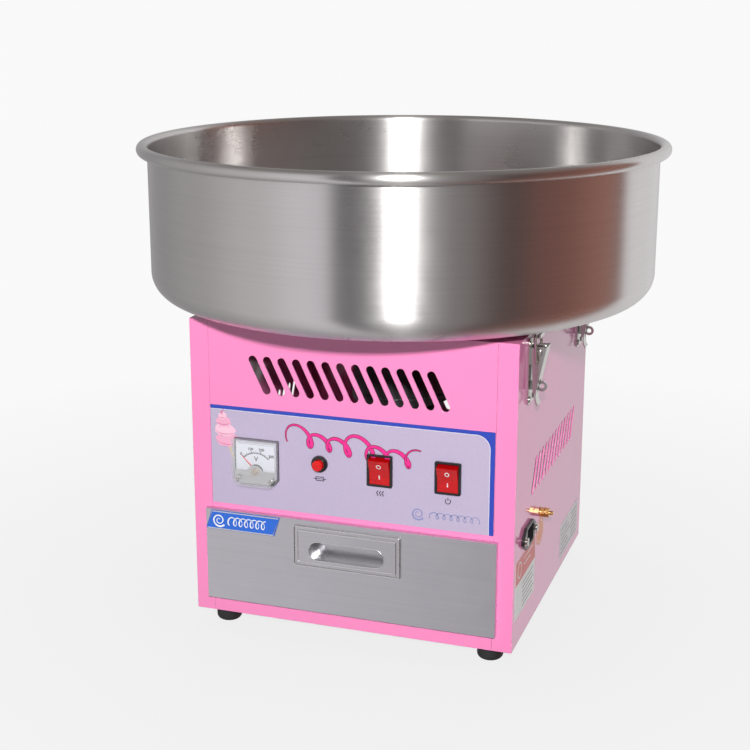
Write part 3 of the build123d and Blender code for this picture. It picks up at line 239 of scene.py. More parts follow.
def build_edge_wear(graph: Graph, given: dict[str, Socket]) -> dict[str, Socket]:
    """A mask that is 1 on convex edges, broken up by noise.

    Args:
        graph: the group's tree.
        given: Width in metres, Breakup in features to the metre, Amount.

    Returns:
        The Mask.
    """
    soft = graph.node("Bevel", {"Radius": given["Width"]}, samples=6).outputs[0]
    hard = graph.node("NewGeometry").outputs["Normal"]
    turned = graph.node("VectorMath", {0: soft, 1: hard}, operation="DOT_PRODUCT").outputs["Value"]
    edge = graph.math("SUBTRACT", 1.0, turned)
    edge = graph.math("MULTIPLY", edge, 9.0, clamp=True)
    noise = graph.node(
        "TexNoise", {"Vector": graph.place(), "Scale": given["Breakup"], "Detail": 4.0}
    ).outputs[0]
    broken = graph.range(noise, 0.42, 0.62, 0.0, 1.0)
    mask = graph.math("MULTIPLY", graph.math("MULTIPLY", edge, broken), given["Amount"], clamp=True)
    return {"Mask": mask}


def build_rounded_edge(graph: Graph, given: dict[str, Socket]) -> dict[str, Socket]:
    """A normal that turns smoothly round each sharp edge, as a small radius does.

    Args:
        graph: the group's tree.
        given: Radius in metres.

    Returns:
        The Normal.
    """
    return {"Normal": graph.node("Bevel", {"Radius": given["Radius"]}, samples=6).outputs[0]}


def build_lathe_grain(graph: Graph, given: dict[str, Socket]) -> dict[str, Socket]:
    """Fine scratches that run round the vertical axis, as on spun and polished sheet.

    Args:
        graph: the group's tree.
        given: Fineness in scratches to the metre, Reach in lengths to the turn.

    Returns:
        Height and Tone, both round 0.5.
    """
    parts = graph.node("SeparateXYZ", {0: graph.place()})
    east, north, up = parts.outputs[0], parts.outputs[1], parts.outputs[2]
    squares = graph.math("ADD", graph.math("MULTIPLY", east, east), graph.math("MULTIPLY", north, north))
    radius = graph.math("MAXIMUM", graph.math("SQRT", squares), 0.001)
    round_east = graph.math("MULTIPLY", graph.math("DIVIDE", east, radius), given["Reach"])
    round_north = graph.math("MULTIPLY", graph.math("DIVIDE", north, radius), given["Reach"])
    across = graph.math("MULTIPLY", graph.math("ADD", radius, up), given["Fineness"])
    where = graph.node("CombineXYZ", {0: round_east, 1: round_north, 2: across}).outputs[0]
    return {
        "Height": graph.noise(where, 1.0, 5.0, 0.65),
        "Tone": graph.noise(where, 0.12, 3.0, 0.6),
    }


def build_sheet_grain(graph: Graph, given: dict[str, Socket]) -> dict[str, Socket]:
    """Fine scratches that run along one direction of a flat sheet.

    Args:
        graph: the group's tree.
        given: Along X, Along Y and Along Z, in features to the metre each way.

    Returns:
        Height and Tone, both round 0.5.
    """
    parts = graph.node("SeparateXYZ", {0: graph.place()})
    scaled = [
        graph.math("MULTIPLY", parts.outputs[index], given[name])
        for index, name in enumerate(("Along X", "Along Y", "Along Z"))
    ]
    where = graph.node("CombineXYZ", dict(enumerate(scaled))).outputs[0]
    return {
        "Height": graph.noise(where, 1.0, 4.0, 0.6),
        "Tone": graph.noise(where, 0.2, 3.0, 0.6),
    }


def build_orange_peel(graph: Graph, given: dict[str, Socket]) -> dict[str, Socket]:
    """The slight waviness and speckle of sprayed or moulded surfaces.

    Args:
        graph: the group's tree.
        given: Grain in features to the metre.

    Returns:
        Height and Tone, both round 0.5.
    """
    where = graph.place()
    fine = graph.node(
        "TexNoise", {"Vector": where, "Scale": given["Grain"], "Detail": 2.0, "Roughness": 0.45}
    ).outputs[0]
    broad = graph.noise(where, 9.0, 3.0, 0.55)
    return {"Height": fine, "Tone": broad}


def build_smudges(graph: Graph, given: dict[str, Socket]) -> dict[str, Socket]:
    """Where hands and cloths have left a surface duller.

    Args:
        graph: the group's tree.
        given: Low and High, the roughness where it is clean and where it is smudged.

    Returns:
        The Roughness.
    """
    where = graph.place()
    broad = graph.noise(where, 14.0, 4.0, 0.6)
    streaks = graph.noise(where, 55.0, 3.0, 0.7)
    mixed = graph.math("ADD", graph.math("MULTIPLY", broad, 0.7), graph.math("MULTIPLY", streaks, 0.3))
    share = graph.range(mixed, 0.36, 0.66, 0.0, 1.0)
    spread = graph.math("SUBTRACT", given["High"], given["Low"])
    return {"Roughness": graph.math("MULTIPLY_ADD", share, spread, given["Low"])}


def build_dust(graph: Graph, given: dict[str, Socket]) -> dict[str, Socket]:
    """A mask of the dust that settles on surfaces that face up.

    Args:
        graph: the group's tree.
        given: Amount.

    Returns:
        The Mask.
    """
    normal = graph.node("NewGeometry").outputs["Normal"]
    up = graph.node("SeparateXYZ", {0: normal}).outputs[2]
    facing = graph.range(up, 0.35, 0.95, 0.0, 1.0)
    specks = graph.range(graph.noise(graph.place(), 420.0, 3.0, 0.7), 0.4, 0.75, 0.15, 1.0)
    mask = graph.math("MULTIPLY", graph.math("MULTIPLY", facing, specks), given["Amount"], clamp=True)
    return {"Mask": mask}


RECIPES: dict[Effect, EffectRecipe] = {
    Effect.EDGE_WEAR: EffectRecipe(
        {"Width": 0.0006, "Breakup": 260.0, "Amount": 0.5}, {"Mask": "Float"}, build_edge_wear
    ),
    Effect.ROUNDED_EDGE: EffectRecipe({"Radius": 0.0004}, {"Normal": "Vector"}, build_rounded_edge),
    Effect.LATHE_GRAIN: EffectRecipe(
        {"Fineness": 5200.0, "Reach": 7.0}, {"Height": "Float", "Tone": "Float"}, build_lathe_grain
    ),
    Effect.SHEET_GRAIN: EffectRecipe(
        {"Along X": 25.0, "Along Y": 4000.0, "Along Z": 4000.0},
        {"Height": "Float", "Tone": "Float"},
        build_sheet_grain,
    ),
    Effect.ORANGE_PEEL: EffectRecipe(
        {"Grain": 900.0}, {"Height": "Float", "Tone": "Float"}, build_orange_peel
    ),
    Effect.SMUDGES: EffectRecipe({"Low": 0.25, "High": 0.4}, {"Roughness": "Float"}, build_smudges),
    Effect.DUST: EffectRecipe({"Amount": 0.2}, {"Mask": "Float"}, build_dust),
}


def effect_tree(effect: Effect) -> bpy.types.NodeTree:
    """The effect's node group, made the first time it is asked for.

    Args:
        effect: which effect.

    Returns:
        The group's tree.
    """
    made = bpy.data.node_groups.get(effect.value)
    if made is not None:
        return made
    recipe = RECIPES[effect]
    tree = bpy.data.node_groups.new(effect.value, "ShaderNodeTree")
    for name, value in recipe.inputs.items():
        socket = tree.interface.new_socket(name=name, in_out="INPUT", socket_type="NodeSocketFloat")
        socket.default_value = value
    for name, kind in recipe.outputs.items():
        tree.interface.new_socket(name=name, in_out="OUTPUT", socket_type="NodeSocket" + kind)
    entry = tree.nodes.new("NodeGroupInput")
    leave = tree.nodes.new("NodeGroupOutput")
    given = {name: entry.outputs[name] for name in recipe.inputs}
    for name, socket in recipe.build(Graph(tree), given).items():
        tree.links.new(socket, leave.inputs[name])
    return tree


def use_effect(graph: Graph, effect: Effect, **values: float) -> bpy.types.Node:
    """Place an effect in a material with its own values.

    Args:
        graph: the material's tree.
        effect: which effect.
        values: inputs by name, with _ for a space.

    Returns:
        The group node.
    """
    placed = graph.node("Group", node_tree=effect_tree(effect))
    for name, value in values.items():
        placed.inputs[name.replace("_", " ")].default_value = value
    return placed


# ---------------------------------------------------------------- finishes


@dataclass(frozen=True)
class Finish:
    """What every finish has: a name, a colour and how it is worked into a material."""

    name: str
    colour: Colour
    edge_radius: float = 0.0004

    def material(self) -> bpy.types.Material:
        """The finish as a material, made the first time it is asked for."""
        name = "finish_" + self.name
        made = bpy.data.materials.get(name)
        if made is None:
            made = bpy.data.materials.new(name)
            made.use_nodes = True
            made.diffuse_color = (*self.colour, 1.0)
            made.node_tree.nodes.clear()
            graph = Graph(made.node_tree)
            surface = self.surface(graph)
            graph.node("OutputMaterial", {"Surface": surface})
        return made

    def surface(self, graph: Graph) -> Socket:
        """Build the shader.

        Args:
            graph: the material's tree.

        Returns:
            The shader's socket.
        """
        raise NotImplementedError

    def normal(self, graph: Graph, height: Socket, depth: float) -> Socket:
        """Rounded edges with a fine relief on top.

        Args:
            graph: the material's tree.
            height: the relief, from 0 to 1.
            depth: how deep the relief is, in metres.

        Returns:
            The normal's socket.
        """
        rounded = use_effect(graph, Effect.ROUNDED_EDGE, Radius=self.edge_radius).outputs["Normal"]
        inputs = {"Strength": 1.0, "Distance": depth, "Height": height, "Normal": rounded}
        return graph.node("Bump", inputs).outputs[0]


@dataclass(frozen=True)
class PowderCoat(Finish):
    """Sprayed and baked enamel on sheet steel."""

    worn: Colour = (0.9, 0.6, 0.72)
    sheen: float = 0.35

    def surface(self, graph: Graph) -> Socket:
        """Build the enamel: peel in the gloss, soft smudges and lightly rubbed edges."""
        peel = use_effect(graph, Effect.ORANGE_PEEL, Grain=650.0)
        tone = graph.range(peel.outputs["Tone"], 0.3, 0.7, 0.0, 1.0)
        deep = tuple(channel * 0.975 for channel in self.colour)
        colour = graph.blend(tone, deep, self.colour)
        wear = use_effect(graph, Effect.EDGE_WEAR, Width=0.0006, Breakup=190.0, Amount=0.4)
        colour = graph.blend(wear.outputs["Mask"], colour, self.worn)
        dust = use_effect(graph, Effect.DUST, Amount=0.08)
        colour = graph.blend(dust.outputs["Mask"], colour, (0.75, 0.68, 0.7))
        rough = use_effect(graph, Effect.SMUDGES, Low=0.1, High=0.14)
        return graph.node(
            "BsdfPrincipled",
            {
                "Base Color": colour,
                "Roughness": rough.outputs["Roughness"],
                "Specular IOR Level": 0.5,
                "Coat Weight": self.sheen,
                "Coat Roughness": 0.08,
                "Normal": self.normal(graph, peel.outputs["Height"], 0.000006),
            },
        ).outputs[0]


class Brushing(Enum):
    """Which way a metal was brushed: the three numbers are features to the metre in X, Y and Z."""

    ACROSS = (22.0, 3200.0, 3200.0)
    UPRIGHT = (3200.0, 3200.0, 30.0)
    LENGTHWISE = (3200.0, 22.0, 3200.0)
    CAST = (500.0, 500.0, 500.0)


@dataclass(frozen=True)
class BrushedSheet(Finish):
    """Flat metal with a brushed, rolled or plated surface."""

    brushing: Brushing = Brushing.ACROSS
    low: float = 0.26
    high: float = 0.4
    depth: float = 0.0000025
    stain: Colour = (0.35, 0.34, 0.33)

    def surface(self, graph: Graph) -> Socket:
        """Build the metal: grain in tone and relief, with smudges and brighter edges."""
        way = self.brushing.value
        grain = use_effect(
            graph, Effect.SHEET_GRAIN, Along_X=way[0], Along_Y=way[1], Along_Z=way[2]
        )
        tone = graph.range(grain.outputs["Tone"], 0.3, 0.72, 0.0, 1.0)
        dull = tuple(0.93 * channel + 0.02 * tint for channel, tint in zip(self.colour, self.stain))
        colour = graph.blend(tone, dull, self.colour)
        wear = use_effect(graph, Effect.EDGE_WEAR, Width=0.0004, Breakup=400.0, Amount=0.5)
        colour = graph.blend(wear.outputs["Mask"], colour, (0.86, 0.86, 0.85))
        rough = use_effect(graph, Effect.SMUDGES, Low=self.low, High=self.high)
        return graph.node(
            "BsdfPrincipled",
            {
                "Base Color": colour,
                "Metallic": 1.0,
                "Roughness": rough.outputs["Roughness"],
                "Normal": self.normal(graph, grain.outputs["Height"], self.depth),
            },
        ).outputs[0]


@dataclass(frozen=True)
class SpunSteel(Finish):
    """Stainless sheet polished on a lathe, with scratches that run round it."""

    low: float = 0.27
    high: float = 0.31

    def surface(self, graph: Graph) -> Socket:
        """Build the steel: round scratches in tone, gloss and relief."""
        grain = use_effect(graph, Effect.LATHE_GRAIN, Fineness=3600.0, Reach=9.0)
        streak = use_effect(graph, Effect.LATHE_GRAIN, Fineness=900.0, Reach=2.5)
        peel = use_effect(graph, Effect.ORANGE_PEEL, Grain=60.0)
        tone = graph.range(grain.outputs["Tone"], 0.3, 0.7, 0.0, 1.0)
        dull = tuple(channel * 0.94 for channel in self.colour)
        colour = graph.blend(tone, dull, self.colour)
        patch = graph.range(peel.outputs["Tone"], 0.45, 0.75, 0.0, 0.05)
        colour = graph.blend(patch, colour, (0.42, 0.40, 0.38))
        rough = use_effect(graph, Effect.SMUDGES, Low=self.low, High=self.high)
        rough_value = graph.math(
            "MULTIPLY_ADD", graph.math("SUBTRACT", streak.outputs["Height"], 0.5), 0.05,
            rough.outputs["Roughness"],
        )
        return graph.node(
            "BsdfPrincipled",
            {
                "Base Color": colour,
                "Metallic": 1.0,
                "Roughness": rough_value,
                "Anisotropic": 0.9,
                "Anisotropic Rotation": 0.25,
                "Normal": self.normal(graph, grain.outputs["Height"], 0.0000006),
            },
        ).outputs[0]


@dataclass(frozen=True)
class Moulded(Finish):
    """Opaque moulded plastic or rubber."""

    low: float = 0.25
    high: float = 0.4
    grain: float = 1500.0
    depth: float = 0.00001
    dust: float = 0.1

    def surface(self, graph: Graph) -> Socket:
        """Build the plastic: fine texture, smudges, a little dust and paler edges."""
        peel = use_effect(graph, Effect.ORANGE_PEEL, Grain=self.grain)
        tone = graph.range(peel.outputs["Tone"], 0.3, 0.7, 0.0, 1.0)
        deep = tuple(channel * 0.85 for channel in self.colour)
        colour = graph.blend(tone, deep, self.colour)
        wear = use_effect(graph, Effect.EDGE_WEAR, Width=0.0004, Breakup=500.0, Amount=0.25)
        rubbed = tuple(min(1.0, channel * 1.6 + 0.03) for channel in self.colour)
        colour = graph.blend(wear.outputs["Mask"], colour, rubbed)
        film = use_effect(graph, Effect.DUST, Amount=self.dust)
        colour = graph.blend(film.outputs["Mask"], colour, (0.5, 0.48, 0.46))
        rough = use_effect(graph, Effect.SMUDGES, Low=self.low, High=self.high)
        return graph.node(
            "BsdfPrincipled",
            {
                "Base Color": colour,
                "Roughness": rough.outputs["Roughness"],
                "Normal": self.normal(graph, peel.outputs["Height"], self.depth),
            },
        ).outputs[0]


@dataclass(frozen=True)
class TintedPlastic(Finish):
    """Coloured see-through plastic with a hollow behind it, given a faint painted glow in place of light
    coming through it.
    """

    painted_glow: float = 0.0

    def surface(self, graph: Graph) -> Socket:
        """Build the plastic: darker ribs inside, a glossy skin and a faint painted glow."""
        where = graph.place()
        stretched = graph.node("Mapping", {"Vector": where, "Scale": (1.0, 1.0, 6.0)}).outputs[0]
        inner = graph.range(graph.noise(stretched, 120.0, 2.0, 0.5), 0.35, 0.7, 0.0, 1.0)
        dark = tuple(channel * 0.8 for channel in self.colour)
        colour = graph.blend(inner, dark, self.colour)
        peel = use_effect(graph, Effect.ORANGE_PEEL, Grain=300.0)
        rough = use_effect(graph, Effect.SMUDGES, Low=0.06, High=0.14)
        return graph.node(
            "BsdfPrincipled",
            {
                "Base Color": colour,
                "Roughness": rough.outputs["Roughness"],
                "Subsurface Weight": 0.35,
                "Subsurface Radius": (0.004, 0.0008, 0.0006),
                "Subsurface Scale": 1.0,
                "Specular IOR Level": 0.3,
                "Coat Weight": 0.15,
                # The emission is a painted glow: no lamp is built behind the plastic.
                "Emission Color": colour,
                "Emission Strength": self.painted_glow,
                "Normal": self.normal(graph, peel.outputs["Height"], 0.000002),
            },
        ).outputs[0]


@dataclass(frozen=True)
class ClearMoulding(Finish):
    """A clear moulded window that lets the light reach what is behind it."""

    def surface(self, graph: Graph) -> Socket:
        """Build the window: a thin clear skin that shows most at its edges."""
        peel = use_effect(graph, Effect.ORANGE_PEEL, Grain=240.0)
        facing = graph.node("LayerWeight", {"Blend": 0.35}).outputs["Facing"]
        return graph.node(
            "BsdfPrincipled",
            {
                "Base Color": rgba(self.colour),
                "Roughness": 0.04,
                "IOR": 1.45,
                "Coat Weight": 0.5,
                "Alpha": graph.range(facing, 0.05, 0.9, 0.07, 0.5),
                "Normal": self.normal(graph, peel.outputs["Height"], 0.000004),
            },
        ).outputs[0]


@dataclass(frozen=True)
class Ink(Finish):
    """Printed colour on film, paper or a badge."""

    low: float = 0.32
    high: float = 0.45
    metallic: float = 0.0
    coat: float = 0.25

    def surface(self, graph: Graph) -> Socket:
        """Build the print: a fine dot grain in the colour under a satin film."""
        peel = use_effect(graph, Effect.ORANGE_PEEL, Grain=1800.0)
        dots = graph.range(peel.outputs["Height"], 0.3, 0.7, 0.0, 1.0)
        pale = tuple(min(1.0, channel * 1.06 + 0.004) for channel in self.colour)
        deep = tuple(channel * 0.92 for channel in self.colour)
        colour = graph.blend(dots, deep, pale)
        rough = use_effect(graph, Effect.SMUDGES, Low=self.low, High=self.high)
        return graph.node(
            "BsdfPrincipled",
            {
                "Base Color": colour,
                "Metallic": self.metallic,
                "Roughness": rough.outputs["Roughness"],
                "Coat Weight": self.coat,
                "Coat Roughness": 0.15,
                "Normal": self.normal(graph, peel.outputs["Height"], 0.000004),
            },
        ).outputs[0]


@dataclass(frozen=True)
class WireCovers(Finish):
    """Covered wires, each lead in a colour of its own."""

    shades: tuple[Colour, ...] = (
        (0.02, 0.08, 0.45),
        (0.32, 0.12, 0.04),
        (0.06, 0.35, 0.08),
        (0.55, 0.02, 0.02),
        (0.5, 0.5, 0.48),
    )

    def surface(self, graph: Graph) -> Socket:
        """Build the covers: one shade for each separate lead."""
        share = graph.node("NewGeometry").outputs["Random Per Island"]
        step = 1.0 / len(self.shades)
        stops = [(index * step, shade) for index, shade in enumerate(self.shades)]
        colour = graph.ramp(share, stops, hold=True)
        peel = use_effect(graph, Effect.ORANGE_PEEL, Grain=1200.0)
        rough = use_effect(graph, Effect.SMUDGES, Low=0.35, High=0.5)
        return graph.node(
            "BsdfPrincipled",
            {
                "Base Color": colour,
                "Roughness": rough.outputs["Roughness"],
                "Normal": self.normal(graph, peel.outputs["Height"], 0.00001),
            },
        ).outputs[0]


PINK = PowderCoat("pink_enamel", (0.93, 0.25, 0.525), edge_radius=0.0007)
BOWL_STEEL = SpunSteel("spun_stainless", (0.66, 0.645, 0.635), edge_radius=0.0003)
DRAWER_STEEL = BrushedSheet("drawer_stainless", (0.62, 0.615, 0.64), low=0.3, high=0.4)
PULL_STEEL = BrushedSheet("pull_stainless", (0.6, 0.595, 0.615), low=0.24, high=0.34)
# A brighter copy of the pull's stainless: besides their lower roughness, the beads' shine is a painted
# highlight.
PAINTED_HIGHLIGHT_STEEL = BrushedSheet("bead_stainless_painted_highlight", (0.88, 0.87, 0.86), low=0.16, high=0.24)
BOX_STEEL = BrushedSheet(
    "drawer_box_stainless", (0.5, 0.5, 0.5), brushing=Brushing.LENGTHWISE, low=0.3, high=0.45
)
ZINC = BrushedSheet(
    "zinc_plate", (0.66, 0.65, 0.62), edge_radius=0.00025, brushing=Brushing.UPRIGHT,
    low=0.16, high=0.3, depth=0.000005,
)
GALVANISED = BrushedSheet(
    "galvanised_sheet", (0.5, 0.5, 0.5), brushing=Brushing.CAST, low=0.35, high=0.55, depth=0.00001
)
ALUMINIUM = BrushedSheet(
    "turned_aluminium", (0.68, 0.68, 0.69), brushing=Brushing.ACROSS, low=0.25, high=0.4
)
BRASS = BrushedSheet(
    "turned_brass", (0.78, 0.5, 0.17), edge_radius=0.0002, brushing=Brushing.CAST,
    low=0.14, high=0.3, depth=0.000008,
)
MOTOR_IRON = BrushedSheet(
    "motor_shell", (0.14, 0.14, 0.15), brushing=Brushing.CAST, low=0.4, high=0.6, depth=0.00003
)
BLACK_PLASTIC = Moulded("black_plastic", (0.012, 0.012, 0.013), low=0.22, high=0.38)
BLACK_SATIN = Moulded("black_satin_plastic", (0.02, 0.02, 0.021), low=0.35, high=0.5)
BLACK_RUBBER = Moulded(
    "black_rubber", (0.014, 0.014, 0.014), low=0.55, high=0.75, grain=900.0, depth=0.00004, dust=0.3
)
GREY_RUBBER = Moulded(
    "seat_rubber", (0.03, 0.03, 0.03), low=0.6, high=0.8, grain=900.0, depth=0.00004, dust=0.2
)
WHITE_PLASTIC = Moulded("white_plastic", (0.78, 0.78, 0.74), low=0.3, high=0.45, dust=0.05)
CARBON = Moulded("carbon_brush", (0.03, 0.03, 0.03), low=0.45, high=0.6, grain=2500.0)
CERAMIC = Moulded("heater_ceramic", (0.6, 0.55, 0.48), low=0.5, high=0.7, grain=1200.0, depth=0.00003)
LEADS = WireCovers("lead_covers", (0.1, 0.1, 0.3))
# Both reds get a faint painted glow, though nothing inside them is a lamp.
RED_ROCKER = TintedPlastic("red_rocker", (0.55, 0.003, 0.005), painted_glow=0.06)
RED_BUTTON = TintedPlastic("red_button", (0.75, 0.008, 0.008), painted_glow=0.05)
CLEAR = ClearMoulding("clear_window", (0.97, 0.98, 0.99), edge_radius=0.0005)
LAVENDER = Ink("lavender_film", (0.49, 0.42, 0.575), low=0.3, high=0.42)
BLUE_INK = Ink("blue_border", (0.015, 0.05, 0.42))
WHITE_INK = Ink("white_line", (0.85, 0.83, 0.88))
DARK_INK = Ink("dark_mark", (0.02, 0.02, 0.035))
HOT_PINK_INK = Ink("hot_pink_mark", (0.86, 0.012, 0.27), coat=0.5)
WINE_INK = Ink("wine_outline", (0.25, 0.004, 0.06))
FLOSS_INK = Ink("floss_pink", (0.84, 0.40, 0.56))
FLOSS_LIGHT = Ink("floss_light", (0.9, 0.55, 0.68))
FLOSS_LINE = Ink("floss_line", (0.72, 0.17, 0.36))
STICK_INK = Ink("stick_buff", (0.68, 0.52, 0.28))
SILVER_INK = Ink("silver_mark", (0.27, 0.3, 0.55), metallic=0.2)
BADGE_BLUE = Ink("badge_blue", (0.004, 0.12, 0.62), low=0.1, high=0.2, coat=0.3)
BADGE_SILVER = Ink("badge_silver", (0.75, 0.75, 0.76), metallic=1.0, low=0.15, high=0.25)
BADGE_WHITE = Ink("badge_white", (0.86, 0.88, 0.9), low=0.15, high=0.25)
DIAL_WHITE = Ink("dial_white", (0.70, 0.715, 0.78))
DIAL_BLACK = Ink("dial_black", (0.02, 0.02, 0.02))
DIAL_SILVER = BrushedSheet("dial_silver", (0.6, 0.6, 0.6), brushing=Brushing.CAST, low=0.3, high=0.45)
NEEDLE_RED = Ink("needle_red", (0.7, 0.02, 0.015))
LABEL_ORANGE = Ink("label_orange", (0.85, 0.2, 0.03))
LABEL_RED = Ink("label_red", (0.68, 0.04, 0.03))
LABEL_WHITE = Ink("label_white", (0.82, 0.8, 0.8))
LABEL_GREY = Ink("label_grey", (0.62, 0.6, 0.62), metallic=0.4)
LABEL_TEXT = Ink("label_bars", (0.12, 0.12, 0.13))


# ---------------------------------------------------------------- outlines and mesh work


@dataclass(frozen=True)
class Face:
    """A flat place on the machine: a point on it and two directions in it."""

    origin: Vector
    across: Vector
    up: Vector

    @property
    def out(self) -> Vector:
        """The direction that points away from the machine."""
        return self.across.cross(self.up)

    def at(self, along: float, height: float, out: float = 0.0) -> Vector:
        """A point from its distances along, up and out of the face, in millimetres."""
        moved = self.across * along + self.up * height + self.out * out
        return self.origin + moved * MM

    def raised(self, out: float) -> "Face":
        """The same face, moved out by some millimetres."""
        return Face(self.origin + self.out * out * MM, self.across, self.up)


def front_face(depth: float) -> Face:
    """A face that looks to the front, at a depth in metres."""
    return Face(Vector((0.0, depth, 0.0)), Vector((1.0, 0.0, 0.0)), Vector((0.0, 0.0, 1.0)))


def right_face(depth: float) -> Face:
    """A face that looks to the right, at a depth in metres."""
    return Face(Vector((depth, 0.0, 0.0)), Vector((0.0, 1.0, 0.0)), Vector((0.0, 0.0, 1.0)))


def arc(centre: Point, radius: float, start: float, end: float, steps: int = 24) -> list[Point]:
    """Points along an arc.

    Args:
        centre: its middle, in millimetres.
        radius: its radius, in millimetres.
        start: the first angle, in degrees.
        end: the last angle, in degrees.
        steps: how many spans.

    Returns:
        The points.
    """
    found = []
    for step in range(steps + 1):
        angle = math.radians(start + (end - start) * step / steps)
        found.append((centre[0] + radius * math.cos(angle), centre[1] + radius * math.sin(angle)))
    return found


def oval(centre: Point, half_width: float, half_height: float, steps: int = 48) -> list[Point]:
    """Points round an ellipse, in millimetres."""
    turn = 2 * math.pi / steps
    return [
        (centre[0] + half_width * math.cos(turn * n), centre[1] + half_height * math.sin(turn * n))
        for n in range(steps)
    ]


def rounded_box(centre: Point, width: float, height: float, radius: float) -> list[Point]:
    """Points round a rectangle with round corners, in millimetres."""
    found: list[Point] = []
    for quarter, (side, top) in enumerate(((1, 1), (-1, 1), (-1, -1), (1, -1))):
        corner = (centre[0] + side * (width / 2 - radius), centre[1] + top * (height / 2 - radius))
        found += arc(corner, radius, 90 * quarter, 90 * quarter + 90, 6)
    return found


def slab(mesh: bmesh.types.BMesh, face: Face, outline: Sequence[Point], thickness: float) -> None:
    """Add a flat plate.

    Args:
        mesh: what it is added to.
        face: where it lies.
        outline: its points in millimetres, once round.
        thickness: how far it stands out of the face, in millimetres.
    """
    low = [mesh.verts.new(face.at(x, y)) for x, y in outline]
    high = [mesh.verts.new(face.at(x, y, thickness)) for x, y in outline]
    caps = [mesh.faces.new(low), mesh.faces.new(high)]
    for cap in caps:
        cap.normal_update()
    count = len(outline)
    for index in range(count):
        after = (index + 1) % count
        mesh.faces.new((low[index], low[after], high[after], high[index]))
    bmesh.ops.triangulate(mesh, faces=caps)


def ribbon(
    mesh: bmesh.types.BMesh,
    face: Face,
    points: Sequence[Point],
    width: float | Callable[[float], float],
    thickness: float,
    closed: bool = False,
) -> None:
    """Add a flat band that follows a line.

    Args:
        mesh: what it is added to.
        face: where it lies.
        points: its middle line, in millimetres.
        width: its width in millimetres, or a function of the share of its length.
        thickness: how far it stands out of the face, in millimetres.
        closed: whether its end meets its start.
    """
    count = len(points)
    rows = []
    for index, (x, y) in enumerate(points):
        before = points[(index - 1) % count] if closed or index else points[index]
        after = points[(index + 1) % count] if closed or index < count - 1 else points[index]
        run = Vector((after[0] - before[0], after[1] - before[1]))
        side = Vector((-run.y, run.x)).normalized() if run.length else Vector((0.0, 1.0))
        half = (width(index / (count - 1)) if callable(width) else width) / 2
        left = (x + side.x * half, y + side.y * half)
        right = (x - side.x * half, y - side.y * half)
        rows.append([mesh.verts.new(face.at(*end, out)) for out in (0.0, thickness) for end in (left, right)])
    spans = count if closed else count - 1
    for index in range(spans):
        here, there = rows[index], rows[(index + 1) % count]
        for first, second in ((0, 1), (1, 3), (3, 2), (2, 0)):
            mesh.faces.new((here[first], here[second], there[second], there[first]))
    if not closed:
        for row in (rows[0], rows[-1]):
            mesh.faces.new((row[0], row[1], row[3], row[2]))


def tube(
    mesh: bmesh.types.BMesh, points: Sequence[Vector], radius: float, sides: int = 12, closed: bool = False
) -> None:
    """Add a round bar that follows a line.

    Args:
        mesh: what it is added to.
        points: its middle line, in metres.
        radius: its radius, in metres.
        sides: how many flats it has round it.
        closed: whether its end meets its start.
    """
    count = len(points)
    rings = []
    side = None
    for index, point in enumerate(points):
        before = points[(index - 1) % count] if closed or index else point
        after = points[(index + 1) % count] if closed or index < count - 1 else point
        run = (after - before).normalized()
        if side is None:
            side = run.orthogonal().normalized()
        side = (side - run * side.dot(run)).normalized()
        other = run.cross(side)
        ring = []
        for step in range(sides):
            angle = 2 * math.pi * step / sides
            ring.append(mesh.verts.new(point + (side * math.cos(angle) + other * math.sin(angle)) * radius))
        rings.append(ring)
    for index in range(count if closed else count - 1):
        here, there = rings[index], rings[(index + 1) % count]
        for step in range(sides):
            after_step = (step + 1) % sides
            mesh.faces.new((here[step], here[after_step], there[after_step], there[step]))
    if not closed:
        mesh.faces.new(rings[0])
        mesh.faces.new(list(reversed(rings[-1])))


def turned(
    mesh: bmesh.types.BMesh,
    profile: Sequence[Point],
    place: Matrix | None = None,
    steps: int = 64,
    closed: bool = True,
) -> None:
    """Add a lathe-turned shape.

    Args:
        mesh: what it is added to.
        profile: radius and height pairs, in millimetres.
        place: where its axis goes, the frame's own +Z if there is none.
        steps: how many flats it has round it.
        closed: whether the profile's end meets its start, as in a ring.
    """
    place = place or Matrix.Identity(4)
    rings = []
    for radius, height in profile:
        if radius < 1e-6:
            rings.append([mesh.verts.new(place @ Vector((0.0, 0.0, height * MM)))])
            continue
        ring = []
        for step in range(steps):
            angle = 2 * math.pi * step / steps
            spot = Vector((radius * math.cos(angle), radius * math.sin(angle), height)) * MM
            ring.append(mesh.verts.new(place @ spot))
        rings.append(ring)
    pairs = list(zip(rings, rings[1:]))
    if closed:
        pairs.append((rings[-1], rings[0]))
    for low, high in pairs:
        if len(low) == 1 and len(high) == 1:
            continue
        for step in range(steps):
            after = (step + 1) % steps
            corners = [
                low[step % len(low)], low[after % len(low)], high[after % len(high)], high[step % len(high)],
            ]
            mesh.faces.new(list(dict.fromkeys(corners)))


def made_piece(
    name: str,
    mesh: bmesh.types.BMesh,
    finish: Finish,
    body: str,
    sharp: float = 35.0,
) -> bpy.types.Object:
    """Turn finished mesh work into a piece that rides on a body.

    Args:
        name: the piece's name.
        mesh: the mesh work, freed here.
        finish: what it is dressed in.
        body: the body that it rides on.
        sharp: faces that meet at more than this many degrees keep a sharp edge.

    Returns:
        The piece.
    """
    bmesh.ops.recalc_face_normals(mesh, faces=mesh.faces)
    data = bpy.data.meshes.new(name)
    mesh.to_mesh(data)
    mesh.free()
    data.polygons.foreach_set("use_smooth", [True] * len(data.polygons))
    data.set_sharp_from_angle(angle=math.radians(sharp))
    data.materials.append(finish.material())
    piece = bpy.data.objects.new(name, data)
    bpy.context.scene.collection.objects.link(piece)
    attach(piece, body)
    LOG.info("%s: %d faces on %s", name, len(data.polygons), body)
    return piece


